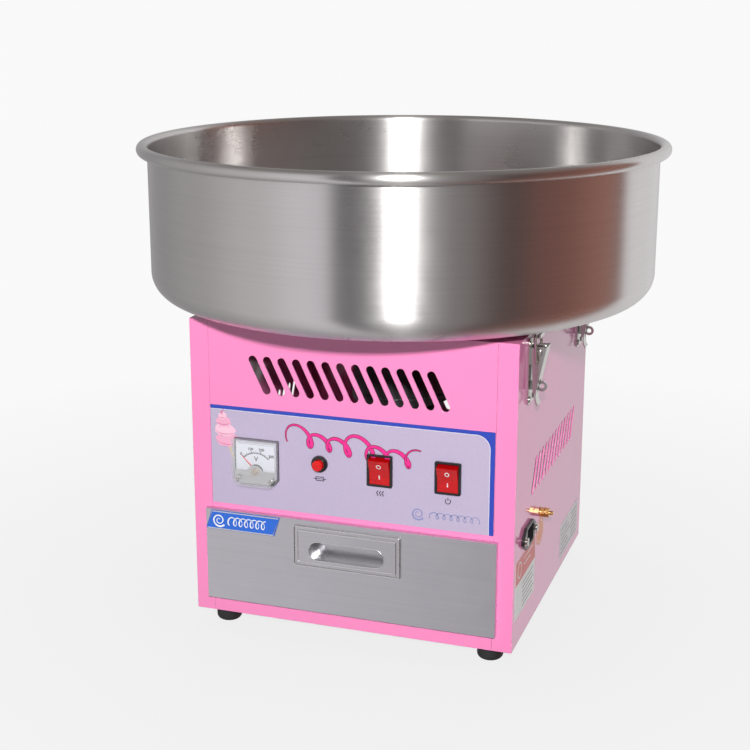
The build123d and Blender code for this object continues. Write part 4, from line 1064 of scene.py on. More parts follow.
def dress(finish: Finish, *nodes: str) -> None:
    """Give frame nodes a finish.

    Args:
        finish: what they are dressed in.
        nodes: the nodes' names.
    """
    for node in nodes:
        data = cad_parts[node].data
        data.materials.clear()
        data.materials.append(finish.material())
        LOG.info("%s: dressed in %s", node, finish.name)


def middle(node: str) -> Vector:
    """The middle of a frame node's box."""
    low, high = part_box(node)
    return (low + high) / 2


def solid_boxes(node: str) -> list[tuple[Vector, Vector]]:
    """The lowest and highest corner of each separate solid in a frame node.

    Args:
        node: the node's name.

    Returns:
        One pair of corners for each solid, in a fixed order.
    """
    mesh = bmesh.new()
    mesh.from_mesh(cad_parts[node].data)
    bmesh.ops.remove_doubles(mesh, verts=mesh.verts, dist=1e-7)
    mesh.verts.ensure_lookup_table()
    unseen = set(range(len(mesh.verts)))
    boxes = []
    while unseen:
        waiting = [min(unseen)]
        unseen.discard(waiting[0])
        low, high = Vector((1e9,) * 3), Vector((-1e9,) * 3)
        while waiting:
            vertex = mesh.verts[waiting.pop()]
            low = Vector(map(min, low, vertex.co))
            high = Vector(map(max, high, vertex.co))
            for edge in vertex.link_edges:
                other = edge.other_vert(vertex).index
                if other in unseen:
                    unseen.discard(other)
                    waiting.append(other)
        boxes.append((low, high))
    mesh.free()
    return sorted(boxes, key=lambda pair: tuple(round(value, 4) for value in pair[0]))


# ---------------------------------------------------------------- the machine


@dataclass
class Cabinet:
    """The pink sheet-metal box on its rubber feet, with the galvanised parts inside it."""

    body: str = "cabinet"
    screw_sides: int = 40
    recess_depth: float = 0.55
    small_screw: float = 3.0
    small_head_height: float = 0.8
    large_head_height: float = 2.6
    drive_share: float = 0.52
    slot_share: float = 0.13
    arm_share: float = 0.86
    floor_share: float = 0.8
    feet_height: float = 0.1
    painted: tuple[str, ...] = (
        "base_tray", "left_side_panel", "right_side_panel", "rear_panel", "front_panel", "top_deck",
    )
    plain: tuple[str, ...] = ("drawer_bay", "drawer_rails")

    def dress(self) -> None:
        """Dress the panels, the drawer bay and the feet."""
        dress(PINK, *self.painted)
        dress(GALVANISED, *self.plain)
        dress(BLACK_RUBBER, "rubber_feet")

    def build(self) -> None:
        """Add the parts that need more than a finish."""
        self.screws()

    def screws(self) -> None:
        """Pan-head screws with cross recesses, one for each solid of the screw node."""
        mesh = bmesh.new()
        for low, high in solid_boxes("machine_screws"):
            self.screw(mesh, low, high)
        piece = made_piece("cross_head_screws", mesh, ZINC, self.body, 30.0)
        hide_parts("machine_screws")

    def screw(self, mesh: bmesh.types.BMesh, low: Vector, high: Vector) -> None:
        """One screw, as large as the solid that it stands for.

        Args:
            mesh: what it is added to.
            low: the solid's lowest corner.
            high: the solid's highest corner.
        """
        size = high - low
        axis = max(range(3), key=lambda index: abs(size[index] - sorted(size)[1]))
        others = [index for index in range(3) if index != axis]
        head = size[others[0]] / 2 / MM
        length = size[axis] / MM
        centre = (low + high) / 2
        head_height = self.small_head_height if head < self.small_screw else self.large_head_height
        shank = head / 2
        downward = axis == 2 and centre.z < self.feet_height
        toward_low = axis == 1 and centre.y < 0
        out = Vector((0.0, 0.0, 0.0))
        out[axis] = -1.0 if downward or toward_low else 1.0
        top = centre + out * (length / 2 - head_height) * MM
        place = Matrix.Translation(top) @ out.to_track_quat("Z", "Y").to_matrix().to_4x4()
        crown = [
            (
                head - 0.45 * head_height * (1 - math.sin(angle)),
                0.55 * head_height + 0.45 * head_height * math.sin(angle),
            )
            for angle in (0.0, 0.5, 0.9, 1.25, math.pi / 2)
        ]
        drive = self.drive_share * head
        slot_half = self.slot_share * head
        deep = head_height * (1 - self.recess_depth)
        profile = [(0.0, head_height - length), (shank * 0.8, head_height - length),
                   (shank, head_height - length + shank * 0.3), (shank, 0.0), (head, 0.0)]
        turned(mesh, [*profile, *crown, (drive, head_height)], place, self.screw_sides, closed=False)
        self.recess(mesh, place, drive, slot_half, head_height, deep)

    def recess(
        self, mesh: bmesh.types.BMesh, place: Matrix, drive: float, slot_half: float, top: float, deep: float
    ) -> None:
        """The cross recess that fills the middle of a head.

        Args:
            mesh: what it is added to.
            place: where the head is.
            drive: the radius of the flat that the cross is cut in, in millimetres.
            slot_half: half the width of each arm, in millimetres.
            top: the height of the head.
            deep: the height of the recess's floor.
        """
        steps = self.screw_sides
        edge = [(drive * math.cos(2 * math.pi * n / steps), drive * math.sin(2 * math.pi * n / steps))
                for n in range(steps)]
        cross: list[Point] = []
        arm = self.arm_share * drive
        for quarter in range(4):
            turn = Matrix.Rotation(math.pi / 2 * quarter, 2)
            for corner in ((slot_half, slot_half), (slot_half, arm), (-slot_half, arm)):
                cross.append(tuple(turn @ Vector(corner)))
        ring = [mesh.verts.new(place @ (Vector((x, y, top)) * MM)) for x, y in edge]
        mouth = [mesh.verts.new(place @ (Vector((x, y, top)) * MM)) for x, y in cross]
        inset = self.floor_share
        floor = [mesh.verts.new(place @ (Vector((inset * x, inset * y, deep)) * MM)) for x, y in cross]
        loops = []
        for loop in (ring, mouth):
            loops += [mesh.edges.new((loop[n], loop[(n + 1) % len(loop)])) for n in range(len(loop))]
        bmesh.ops.bridge_loops(mesh, edges=loops)
        for index in range(len(cross)):
            after = (index + 1) % len(cross)
            mesh.faces.new((mouth[index], mouth[after], floor[after], floor[index]))
        cap = mesh.faces.new(floor)
        cap.normal_update()
        bmesh.ops.triangulate(mesh, faces=[cap])


@dataclass
class ControlPanel:
    """The printed film over the control end of the front: border, picture, scroll and symbols."""

    body: str = "cabinet"
    print_thickness: float = 0.06
    border_width: float = 4.0
    border_side: float = 4.7
    corner_radius: float = 13.0
    line_width: float = 0.6
    mark_drop: float = 22.5
    face: Face = field(init=False)

    def __post_init__(self) -> None:
        """Find the film's own face and corners."""
        low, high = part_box("control_overlay")
        self.face = front_face(low.y)
        self.left, self.right = low.x / MM, high.x / MM
        self.bottom, self.top = low.z / MM, high.z / MM

    def build(self) -> None:
        """Dress the film and add what is printed on it."""
        dress(LAVENDER, "control_overlay")
        self.border()
        self.floss_picture()
        self.scroll()
        self.symbols()
        self.small_mark()

    def print(self, name: str, mesh: bmesh.types.BMesh, finish: Finish) -> None:
        """Make one printed layer into a piece."""
        made_piece(name, mesh, finish, self.body)

    def inner_corner(self) -> list[Point]:
        """The line between the lavender field and the blue border."""
        side = self.right - self.border_side
        under = self.top - self.border_width
        turn = (side - self.corner_radius, under - self.corner_radius)
        return [(self.left, under), *arc(turn, self.corner_radius, 90, 0, 12), (side, self.bottom)]

    def border(self) -> None:
        """The blue border along the top and down the right, with a white line inside it."""
        inner = self.inner_corner()
        mesh = bmesh.new()
        outline = [*inner, (self.right, self.bottom), (self.right, self.top), (self.left, self.top)]
        slab(mesh, self.face, outline, self.print_thickness)
        self.print("overlay_blue_border", mesh, BLUE_INK)
        mesh = bmesh.new()
        ribbon(mesh, self.face.raised(self.print_thickness), inner, self.line_width, 0.03)
        self.print("overlay_white_line", mesh, WHITE_INK)

    def floss_picture(self) -> None:
        """A cloud of floss on a stick, in three puffs with swirl lines."""
        centre = self.left + 15.5
        base = self.top - 34.0
        layers = (
            (centre + 2.0, base, 12.6, 7.2),
            (centre - 0.6, base + 9.6, 10.8, 6.4),
            (centre - 2.2, base + 18.0, 7.8, 5.0),
            (centre - 3.0, base + 23.6, 4.2, 3.8),
        )
        mesh = bmesh.new()
        stick = [
            (centre + 2.2, base - 5.5), (centre + 4.6, base - 5.5),
            (centre + 9.8, base - 22.0), (centre + 8.6, base - 22.3),
        ]
        slab(mesh, self.face, stick, self.print_thickness)
        self.print("picture_stick", mesh, STICK_INK)
        lines = bmesh.new()
        for order, (x, z, wide, tall) in enumerate(layers):
            mesh = bmesh.new()
            level = self.print_thickness * (1.2 + 0.5 * order)
            slab(mesh, self.face, self.puff((x, z), wide, tall, order), level)
            self.print(f"picture_puff_{order + 1}", mesh, FLOSS_LIGHT if order % 2 else FLOSS_INK)
            face = self.face.raised(level)
            swirl = [
                (x + (wide - 1.6) * math.cos(a), z - 0.8 + (tall - 1.8) * math.sin(a) * 0.75)
                for a in (math.pi * (1.05 + 0.85 * step / 14) for step in range(15))
            ]
            ribbon(lines, face, swirl, lambda share: 0.25 + 0.55 * math.sin(math.pi * share), 0.02)
            crest = [
                (x + (wide - 3.6) * math.cos(a), z + 0.4 + (tall - 2.6) * math.sin(a))
                for a in (math.pi * (0.25 + 0.6 * step / 12) for step in range(13))
            ]
            ribbon(lines, face, crest, lambda share: 0.2 + 0.35 * math.sin(math.pi * share), 0.02)
        tip = [(centre - 4.4, base + 25.5), (centre - 3.2, base + 28.4), (centre - 0.8, base + 31.0)]
        ribbon(lines, self.face.raised(self.print_thickness), tip, lambda share: 2.4 * (1.05 - share), 0.12)
        self.print("picture_swirl_lines", lines, FLOSS_LINE)

    def puff(self, centre: Point, wide: float, tall: float, order: int) -> list[Point]:
        """The bumpy outline of one puff.

        Args:
            centre: its middle, in millimetres.
            wide: half its width.
            tall: half its height.
            order: which puff it is, so that the bumps differ.

        Returns:
            The outline.
        """
        found = []
        for step in range(72):
            angle = 2 * math.pi * step / 72
            swell = 1 + 0.045 * math.sin(5 * angle + 1.7 * order) + 0.02 * math.sin(11 * angle + order)
            across, along = wide * swell * math.cos(angle), tall * swell * math.sin(angle)
            found.append((centre[0] + across, centre[1] + along))
        return found

    def scroll(self) -> None:
        """A drawn-out thread of sugar in loops, hot pink with a dark edge."""
        first, last, loops, steps = -54.0, 70.0, 6.4, 480
        points: list[Point] = []
        for step in range(steps + 1):
            share = step / steps
            turn = 2 * math.pi * (loops * share + 0.12)
            swell = 0.5 + 0.5 * max(0.0, math.cos(2 * math.pi * (share * 2.0 - 0.05))) ** 3
            reach = 11.5 * swell
            x = first + (last - first) * share - reach * 0.95 * math.sin(turn) + 4.0 * swell - 4.0
            z = self.top - 24.0 - 12.0 * share - reach * 1.15 * math.cos(turn + 0.35)
            points.append((x, z))

        def pen(share: float) -> float:
            """The pen's width along the thread, thick on the way down."""
            sway = 0.5 - 0.5 * math.sin(2 * math.pi * (loops * share + 0.12))
            ends = min(1.0, 10 * share, 10 * (1 - share))
            return (1.6 + 1.6 * sway) * ends + 0.3

        edge, thread = bmesh.new(), bmesh.new()
        piece = steps // 16
        for order in range(16):
            first_step = order * piece
            stroke = points[first_step : first_step + piece + 3]
            level = self.face.raised(0.02 * order)

            def width(share: float, start: int = first_step, count: int = len(stroke)) -> float:
                """The pen's width at a share of this stroke."""
                return pen((start + share * (count - 1)) / steps)

            ribbon(edge, level, stroke, lambda share, pen_width=width: pen_width(share) + 1.3, 0.06)
            ribbon(thread, level.raised(0.06), stroke, width, 0.03)
        self.print("scroll_dark_edge", edge, WINE_INK)
        self.print("scroll_pink_thread", thread, HOT_PINK_INK)

    def symbols(self) -> None:
        """A fuse, a heat and a power symbol under their controls."""
        mesh = bmesh.new()
        under_fuse = (middle("breaker_nut").x / MM, middle("breaker_nut").z / MM - 15.0)
        x, z = under_fuse
        ribbon(mesh, self.face, rounded_box((x, z), 8.0, 3.6, 0.8), 0.8, self.print_thickness, closed=True)
        ribbon(mesh, self.face, [(x - 6.4, z), (x + 6.4, z)], 0.7, self.print_thickness)
        x = middle("heat_switch_body").x / MM
        z = middle("heat_switch_body").z / MM - self.mark_drop
        for shift in (-2.6, 0.0, 2.6):
            wave = [
                (x + shift + 0.7 * math.sin(2 * math.pi * n / 12), z - 2.6 + 5.2 * n / 16) for n in range(17)
            ]
            ribbon(mesh, self.face, wave, 0.9, self.print_thickness)
        x = middle("power_switch_body").x / MM
        ribbon(mesh, self.face, arc((x, z), 2.5, 125, 415, 28), 0.85, self.print_thickness)
        ribbon(mesh, self.face, [(x, z + 0.4), (x, z + 3.6)], 0.85, self.print_thickness)
        self.print("control_symbols", mesh, DARK_INK)

    def small_mark(self) -> None:
        """A pale thread of loops at the lower right, as a plain ornament."""
        mesh = bmesh.new()
        first = self.right - 72.0
        z = self.bottom + 13.0
        swirl = [
            (first + (1.2 + 0.42 * turn) * math.cos(turn), z + (1.2 + 0.42 * turn) * math.sin(turn))
            for turn in (math.pi * (0.4 + 3.4 * step / 40) for step in range(41))
        ]
        ribbon(mesh, self.face, swirl, lambda share: 0.5 + 1.1 * share, self.print_thickness)
        loops = []
        for step in range(161):
            turn = 2 * math.pi * 7 * step / 160
            loops.append((first + 12 + 46 * step / 160 - 2.6 * math.sin(turn), z - 3.0 * math.cos(turn)))
        ribbon(mesh, self.face, loops, lambda share: 0.9 - 0.3 * share, self.print_thickness)
        self.print("overlay_silver_mark", mesh, SILVER_INK)


@dataclass
class Voltmeter:
    """The square panel meter with its printed dial, needle and clear cover."""

    body: str = "cabinet"
    scale_radius: float = 17.5
    tick_count: int = 30
    start_angle: float = 135.0
    end_angle: float = 45.0
    needle_tail: float = 4.0
    tail_clearance: float = 0.3
    print_thickness: float = 0.04
    apron_out: float = 3.6
    apron_thickness: float = 0.5
    arch_radius: float = 8.6
    spring_turns: float = 3.2
    spring_inner: float = 1.4
    spring_growth: float = 2.4
    spring_out: float = 4.9
    spring_wire: float = 0.12

    def build(self) -> None:
        """Dress the meter and add the dial's print, the silver apron and the hairspring."""
        dress(BLACK_SATIN, "meter_case")
        dress(CLEAR, "meter_cover")
        dress(DIAL_WHITE, "meter_dial")
        dress(BRASS, "meter_movement")
        dress(NEEDLE_RED, "meter_needle")
        self.low, self.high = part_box("meter_dial")
        self.face = front_face(self.low.y)
        self.centre = middle("meter_dial").x / MM
        needle_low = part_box("meter_needle")[0]
        tail_drop = self.needle_tail * math.sin(math.radians(45))
        self.pivot_z = needle_low.z / MM + tail_drop + self.tail_clearance
        self.scale()
        self.apron()
        self.coil()

    def spoke(self, angle: float, inner: float, outer: float) -> list[Point]:
        """A short line that points at the pivot."""
        turn = math.radians(angle)
        return [
            (self.centre + reach * math.cos(turn), self.pivot_z + reach * math.sin(turn))
            for reach in (inner, outer)
        ]

    def scale(self) -> None:
        """The arc, its ticks, the numbers and the unit."""
        mesh = bmesh.new()
        pivot = (self.centre, self.pivot_z)
        sweep = arc(pivot, self.scale_radius, self.start_angle, self.end_angle, 32)
        ribbon(mesh, self.face, sweep, 0.8, self.print_thickness)
        for tick in range(self.tick_count + 1):
            angle = self.start_angle + (self.end_angle - self.start_angle) * tick / self.tick_count
            major = tick % 10 == 0
            half = tick % 5 == 0
            outer = self.scale_radius + (3.0 if major else 2.2 if half else 1.5)
            line = self.spoke(angle, self.scale_radius, outer)
            ribbon(mesh, self.face, line, 0.6 if major else 0.32, self.print_thickness)
        frame_outline = rounded_box((self.centre, self.high.z / MM - 2.6), 36.0, 1.4, 0.5)
        ribbon(mesh, self.face, frame_outline, 0.2, self.print_thickness, closed=True)
        made_piece("meter_scale", mesh, DIAL_BLACK, self.body)
        for tick, words in enumerate(("0", "100", "200", "300")):
            angle = self.start_angle + (self.end_angle - self.start_angle) * tick / 3
            spot = self.spoke(angle, self.scale_radius + 4.4, 0.0)[0]
            self.figure(f"meter_number_{words}", words, spot, 2.8)
        self.figure("meter_unit", "V", (self.centre, self.pivot_z + 11.6), 5.0)

    def figure(self, name: str, words: str, spot: Point, height: float) -> None:
        """A dial figure as thin raised print.

        Args:
            name: the piece's name.
            words: what it says.
            spot: its middle, in millimetres.
            height: how tall it is, in millimetres.
        """
        letter = bpy.data.curves.new(name, "FONT")
        letter.body = words
        letter.size = height * 1.35 * MM
        letter.align_x = "CENTER"
        letter.align_y = "CENTER"
        letter.extrude = 0.02 * MM
        letter.offset = 0.12 * MM
        text = bpy.data.objects.new(name + "_text", letter)
        data = bpy.data.meshes.new_from_object(text)
        bpy.data.objects.remove(text)
        turned_up = Matrix.Translation(self.face.at(*spot, 0.02)) @ Matrix.Rotation(math.pi / 2, 4, "X")
        mesh = bmesh.new()
        mesh.from_mesh(data)
        bmesh.ops.transform(mesh, matrix=turned_up, verts=mesh.verts)
        bpy.data.meshes.remove(data)
        made_piece(name, mesh, DIAL_BLACK, self.body)

    def apron(self) -> None:
        """The silver plate over the lower third, with an arch round the movement."""
        half = (self.high.x - self.low.x) / 2 / MM - 0.4
        top = self.pivot_z + 1.0
        bottom = self.low.z / MM + 0.3
        cut = 5.6
        outline = [
            (self.centre - half, top), (self.centre - half, bottom + cut), (self.centre - half + cut, bottom),
            (self.centre + half - cut, bottom), (self.centre + half, bottom + cut), (self.centre + half, top),
            (self.centre + self.arch_radius, top),
            *reversed(arc((self.centre, self.pivot_z - 2.2), self.arch_radius, 172, 8, 20)),
            (self.centre - self.arch_radius, top),
        ]
        mesh = bmesh.new()
        slab(mesh, self.face.raised(self.apron_out), outline, self.apron_thickness)
        made_piece("meter_silver_apron", mesh, DIAL_SILVER, self.body)

    def coil(self) -> None:
        """The dark bridge and the gilt hairspring over the movement."""
        mesh = bmesh.new()
        pivot = (self.centre, self.pivot_z - 1.0)
        ribbon(mesh, self.face.raised(0.4), arc(pivot, 6.4, 168, 12, 20), 2.2, 1.6)
        made_piece("meter_bridge", mesh, BLACK_SATIN, self.body)
        mesh = bmesh.new()
        points = []
        for step in range(90):
            turn = 2 * math.pi * self.spring_turns * step / 89
            reach = self.spring_inner + self.spring_growth * step / 89
            across, along = reach * math.cos(turn), reach * math.sin(turn)
            points.append(self.face.at(self.centre + across, self.pivot_z + along, self.spring_out))
        tube(mesh, points, self.spring_wire * MM, 6)
        made_piece("meter_hairspring", mesh, BRASS, self.body)


@dataclass
class Switches:
    """The reset breaker and the two lit rocker switches, whose red plastic has a faint painted glow."""

    mark_height: float = 0.25
    mark_reach: float = 1.9
    ring_share: float = 0.70
    bar_share: float = 0.28
    dimple_radius: float = 0.55
    dimple_circle: float = 2.3
    probe_distance: float = 0.02

    def build(self) -> None:
        """Dress the controls and mould their marks."""
        dress(BLACK_PLASTIC, "breaker_nut", "heat_switch_body", "power_switch_body")
        dress(BLACK_SATIN, "breaker_body")
        dress(RED_BUTTON, "breaker_button")
        dress(RED_ROCKER, "heat_switch_rocker", "power_switch_rocker")
        self.dimples()
        for name, body in (("heat", "heat_rocker"), ("power", "power_rocker")):
            self.marks(name, body)

    def dimples(self) -> None:
        """Small raised studs on the breaker's button."""
        low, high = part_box("breaker_button")
        face = front_face(low.y)
        centre = ((low.x + high.x) / 2 / MM, (low.z + high.z) / 2 / MM)
        mesh = bmesh.new()
        circle = self.dimple_circle
        spots = [(0.0, 0.0)] + [
            (circle * math.cos(turn), circle * math.sin(turn))
            for turn in (math.radians(angle) for angle in range(30, 390, 60))
        ]
        for along, height in spots:
            where = face.at(centre[0] + along, centre[1] + height)
            place = Matrix.Translation(where) @ Matrix.Rotation(math.pi / 2, 4, "X")
            reach = self.dimple_radius
            crown = [(reach * math.cos(a), reach * 0.6 * math.sin(a)) for a in (0, 0.5, 1.0)]
            outline = [(0.0, -0.1), (reach, -0.1), *crown, (0.0, 0.33)]
            turned(mesh, outline, place, 16, closed=False)
        made_piece("breaker_button_studs", mesh, RED_BUTTON, "breaker_button")

    def marks(self, name: str, body: str) -> None:
        """The ring above and the bar below on one rocker, laid on its two faces.

        Args:
            name: the switch's name.
            body: the rocker's body.
        """
        node = f"{name}_switch_rocker"
        low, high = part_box(node)
        centre_x = (low.x + high.x) / 2
        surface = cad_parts[node]
        mesh = bmesh.new()
        for share, kind in ((self.ring_share, "ring"), (self.bar_share, "bar")):
            height = low.z + (high.z - low.z) * share
            start = Vector((centre_x, low.y - self.probe_distance, height))
            hit, spot, normal, _ = surface.ray_cast(start, Vector((0, 1, 0)))
            if not hit:
                LOG.warning("%s: no surface under its %s", node, kind)
                continue
            across = Vector((1.0, 0.0, 0.0))
            face = Face(spot, across, normal.cross(across).normalized())
            if kind == "ring":
                ring = oval((0.0, 0.0), self.mark_reach, self.mark_reach, 32)
                ribbon(mesh, face, ring, 0.7, self.mark_height, closed=True)
            else:
                bar = [(0.0, -self.mark_reach), (0.0, self.mark_reach)]
                ribbon(mesh, face, bar, 0.9, self.mark_height)
        made_piece(f"{name}_rocker_marks", mesh, BADGE_WHITE, body)


@dataclass
class CatchDrawer:
    """The stainless drawer with its recessed pull and its badge."""

    body: str = "drawer"
    lean: float = 6.0
    slot_rise: float = 17.2
    slot_width: float = 75.6
    slot_height: float = 18.6
    outer_inset: float = 1.4
    inner_inset: float = 9.4

    def build(self) -> None:
        """Dress the drawer and add the badge's print and the pull's rolled frame."""
        dress(DRAWER_STEEL, "drawer_front")
        dress(BOX_STEEL, "drawer_box")
        dress(PULL_STEEL, "drawer_pull")
        dress(BADGE_BLUE, "drawer_badge")
        self.badge()
        self.pull_frame()

    def pull_frame(self) -> None:
        """Rolled beads round the pull plate, inside its rim and round the finger slot, painted brighter than
        the pull's steel as a highlight.
        """
        low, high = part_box("drawer_pull")
        face = front_face(low.y)
        centre = ((low.x + high.x) / 2 / MM, (low.z + high.z) / 2 / MM)
        width, height = (high.x - low.x) / MM, (high.z - low.z) / MM
        slot_middle = (centre[0], low.z / MM + self.slot_rise)
        slot = rounded_box(slot_middle, self.slot_width, self.slot_height, self.slot_height / 2.02)
        outer = rounded_box(centre, width - self.outer_inset, height - self.outer_inset, 1.0)
        inner = rounded_box(centre, width - self.inner_inset, height - self.inner_inset, 1.2)
        beads = (
            ("pull_outer_bead", outer, 0.45), ("pull_inner_bead", inner, 0.5), ("pull_slot_bead", slot, 0.4)
        )
        for name, outline, radius in beads:
            mesh = bmesh.new()
            tube(mesh, [face.at(x, z, 0.0) for x, z in outline], radius * MM, 10, closed=True)
            made_piece(name, mesh, PAINTED_HIGHLIGHT_STEEL, self.body)

    def badge(self) -> None:
        """A silver edge and a plain swirl with strokes on the blue badge."""
        low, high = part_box("drawer_badge")
        face = front_face(low.y)
        left, right, bottom, top = low.x / MM, high.x / MM, low.z / MM, high.z / MM
        edge = 0.9
        corners = [
            (left + edge, bottom + edge), (right - self.lean - edge, bottom + edge),
            (right - edge, top - edge), (left + self.lean + edge, top - edge),
        ]
        mesh = bmesh.new()
        ribbon(mesh, face, corners, 1.1, 0.25, closed=True)
        made_piece("badge_silver_edge", mesh, BADGE_SILVER, self.body)
        mesh = bmesh.new()
        centre = (left + 14.0, (bottom + top) / 2)
        swirl = [
            (
                centre[0] + (1.2 + 0.5 * turn) * math.cos(turn + 0.6),
                centre[1] + (1.2 + 0.5 * turn) * math.sin(turn + 0.6),
            )
            for turn in (math.pi * 3.6 * step / 44 for step in range(45))
        ]
        ribbon(mesh, face, swirl, lambda share: 0.5 + 1.3 * share, 0.15)
        loops = []
        for step in range(201):
            turn = 2 * math.pi * 6.5 * step / 200
            x = left + 25.0 + 38.0 * step / 200 - 2.9 * math.sin(turn)
            loops.append((x, centre[1] - 4.2 * math.cos(turn)))
        ribbon(mesh, face, loops, lambda share: 0.95 + 0.35 * math.sin(13 * math.pi * share), 0.15)
        made_piece("badge_white_swirl", mesh, BADGE_WHITE, self.body)


@dataclass
class Bowl:
    """The spun stainless bowl with its rolled rim, its rubber seat and the keepers under it."""

    body: str = "cabinet"
    sheet: float = 0.8
    corner: float = 24.5
    collar: float = 8.0
    roll: float = 5.6
    roll_sweep: float = 300.0
    hole_radius: float = 62.0
    lip_radius: float = 2.2
    lip_run: float = 3.0
    lip_round: float = 0.4
    ring_step: float = 30.0
    rim_step: float = 20.0
    steps: int = 288

    def build(self) -> None:
        """Spin the bowl, and dress what carries it."""
        low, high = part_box("bowl")
        mesh = bmesh.new()
        turned(mesh, self.profile(high.x / MM, low.z / MM, high.z / MM), steps=self.steps)
        piece = made_piece("spun_bowl", mesh, BOWL_STEEL, self.body, 50.0)
        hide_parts("bowl")
        dress(GREY_RUBBER, "bowl_seat")
        dress(ZINC, "bowl_keepers")

    def profile(self, reach: float, bottom: float, top: float) -> list[Point]:
        """The bowl's section, once round.

        Args:
            reach: the rim's outer radius, in millimetres.
            bottom: the height of the underside.
            top: the height of the rim.

        Returns:
            Radius and height pairs.
        """
        rim = (reach - self.roll, top - self.roll)
        inner = rim[0] - self.roll
        outer = inner + self.sheet
        bend = (outer - self.corner, bottom + self.corner)
        tight = self.roll - self.sheet
        far, near = self.hole_radius + self.lip_run, self.hole_radius + self.ring_step
        face, lip = bottom + self.sheet, bottom + self.collar
        flat = bend[0] - self.ring_step
        walls = (bend[1] + self.ring_step, bend[1] + 2 * self.ring_step, rim[1] - self.rim_step)
        underside = [(self.hole_radius, bottom), (near, bottom), (flat, bottom)]
        outside = [*arc(bend, self.corner, -90, 0, 16), *((outer, height) for height in walls)]
        rolled_in = [*arc(rim, tight, 180, 180 - self.roll_sweep, 40)]
        rolled_out = [*arc(rim, self.roll, 180 - self.roll_sweep, 180, 44)]
        inside = [*((inner, height) for height in reversed(walls)),
                  *arc(bend, self.corner - self.sheet, 0, -90, 16)]
        floor = [(flat, face), (near, face), (far, face),
                 *arc((far, face + self.lip_radius), self.lip_radius, -90, -180, 5),
                 (self.hole_radius + self.sheet, lip - self.lip_round),
                 (self.hole_radius + self.lip_round, lip),
                 (self.hole_radius, lip - self.lip_round)]
        return [*underside, *outside, *rolled_in, *rolled_out, *inside, *floor]


@dataclass
class SpinnerHead:
    """The turning head: base, heater ring, slotted band and funnel cap on the motor's shaft."""

    body: str = "spinner"
    coil_turns: int = 5
    coil_wire: float = 0.7
    coil_gap: float = 0.9
    coil_start: float = 0.12
    coil_rise: float = 0.76
    turn_steps: int = 72

    def build(self) -> None:
        """Dress the head and wind the heater's coil."""
        dress(ALUMINIUM, "spinner_base", "spinner_band", "spinner_cap")
        dress(CERAMIC, "heater_ring")
        dress(ZINC, "spinner_shaft")
        dress(BRASS, "slip_rings")
        self.heater_coil()

    def heater_coil(self) -> None:
        """The resistance coil wound round the outside of the ceramic ring."""
        low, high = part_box("heater_ring")
        centre = (low + high) / 2
        reach = (high.x - low.x) / 2 + self.coil_gap * MM
        height = high.z - low.z
        mesh = bmesh.new()
        steps = self.coil_turns * self.turn_steps
        points = []
        for step in range(steps + 1):
            turn = 2 * math.pi * step / self.turn_steps
            rise = low.z + height * (self.coil_start + self.coil_rise * step / steps)
            across, along = reach * math.cos(turn), reach * math.sin(turn)
            points.append(Vector((centre.x + across, centre.y + along, rise)))
        tube(mesh, points, self.coil_wire * MM, 8)
        made_piece("heater_winding", mesh, ZINC, self.body)


@dataclass
class ToggleLatch:
    """One toggle latch: base with ears, lever, wire bail and the spring round its pivot."""

    place: str
    side: int
    pivot_out: float = 9.5
    pivot_height: float = 296.0
    coil_radius: float = 2.85
    coil_half: float = 4.6
    wire_radius: float = 0.45
    turns: int = 7
    turn_steps: int = 20
    leg_in: float = 3.0
    leg_drop: float = 9.0
    leg_bend: float = 0.45

    def build(self) -> None:
        """Dress the latch and wind its spring."""
        dress(
            ZINC, f"{self.place}_latch_base", f"{self.place}_latch_lever", f"{self.place}_latch_bail"
        )
        self.spring()

    def spring(self) -> None:
        """A torsion spring round the pivot, with one leg on the base plate and one under the lever."""
        low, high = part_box(f"{self.place}_latch_base")
        along = (low.y + high.y) / 2
        wall = low.x if self.side > 0 else high.x
        centre = Vector((wall + self.side * self.pivot_out * MM, along, self.pivot_height * MM))
        points = []
        steps = self.turns * self.turn_steps
        for step in range(steps + 1):
            angle = 2 * math.pi * step / self.turn_steps - math.pi / 2
            offset = Vector((math.cos(angle) * self.side, 0.0, math.sin(angle))) * self.coil_radius
            offset.y = -self.coil_half + 2 * self.coil_half * step / steps
            points.append(centre + offset * MM)
        first, last = points[0], points[-1]
        down = Vector((-self.side * self.leg_in, 0.0, -self.leg_drop)) * MM
        bend = down * self.leg_bend
        points = [first + down, first + bend, *points, last + bend, last + down]
        mesh = bmesh.new()
        tube(mesh, points, self.wire_radius * MM, 8)
        made_piece(f"{self.place}_latch_spring", mesh, ZINC, "cabinet")


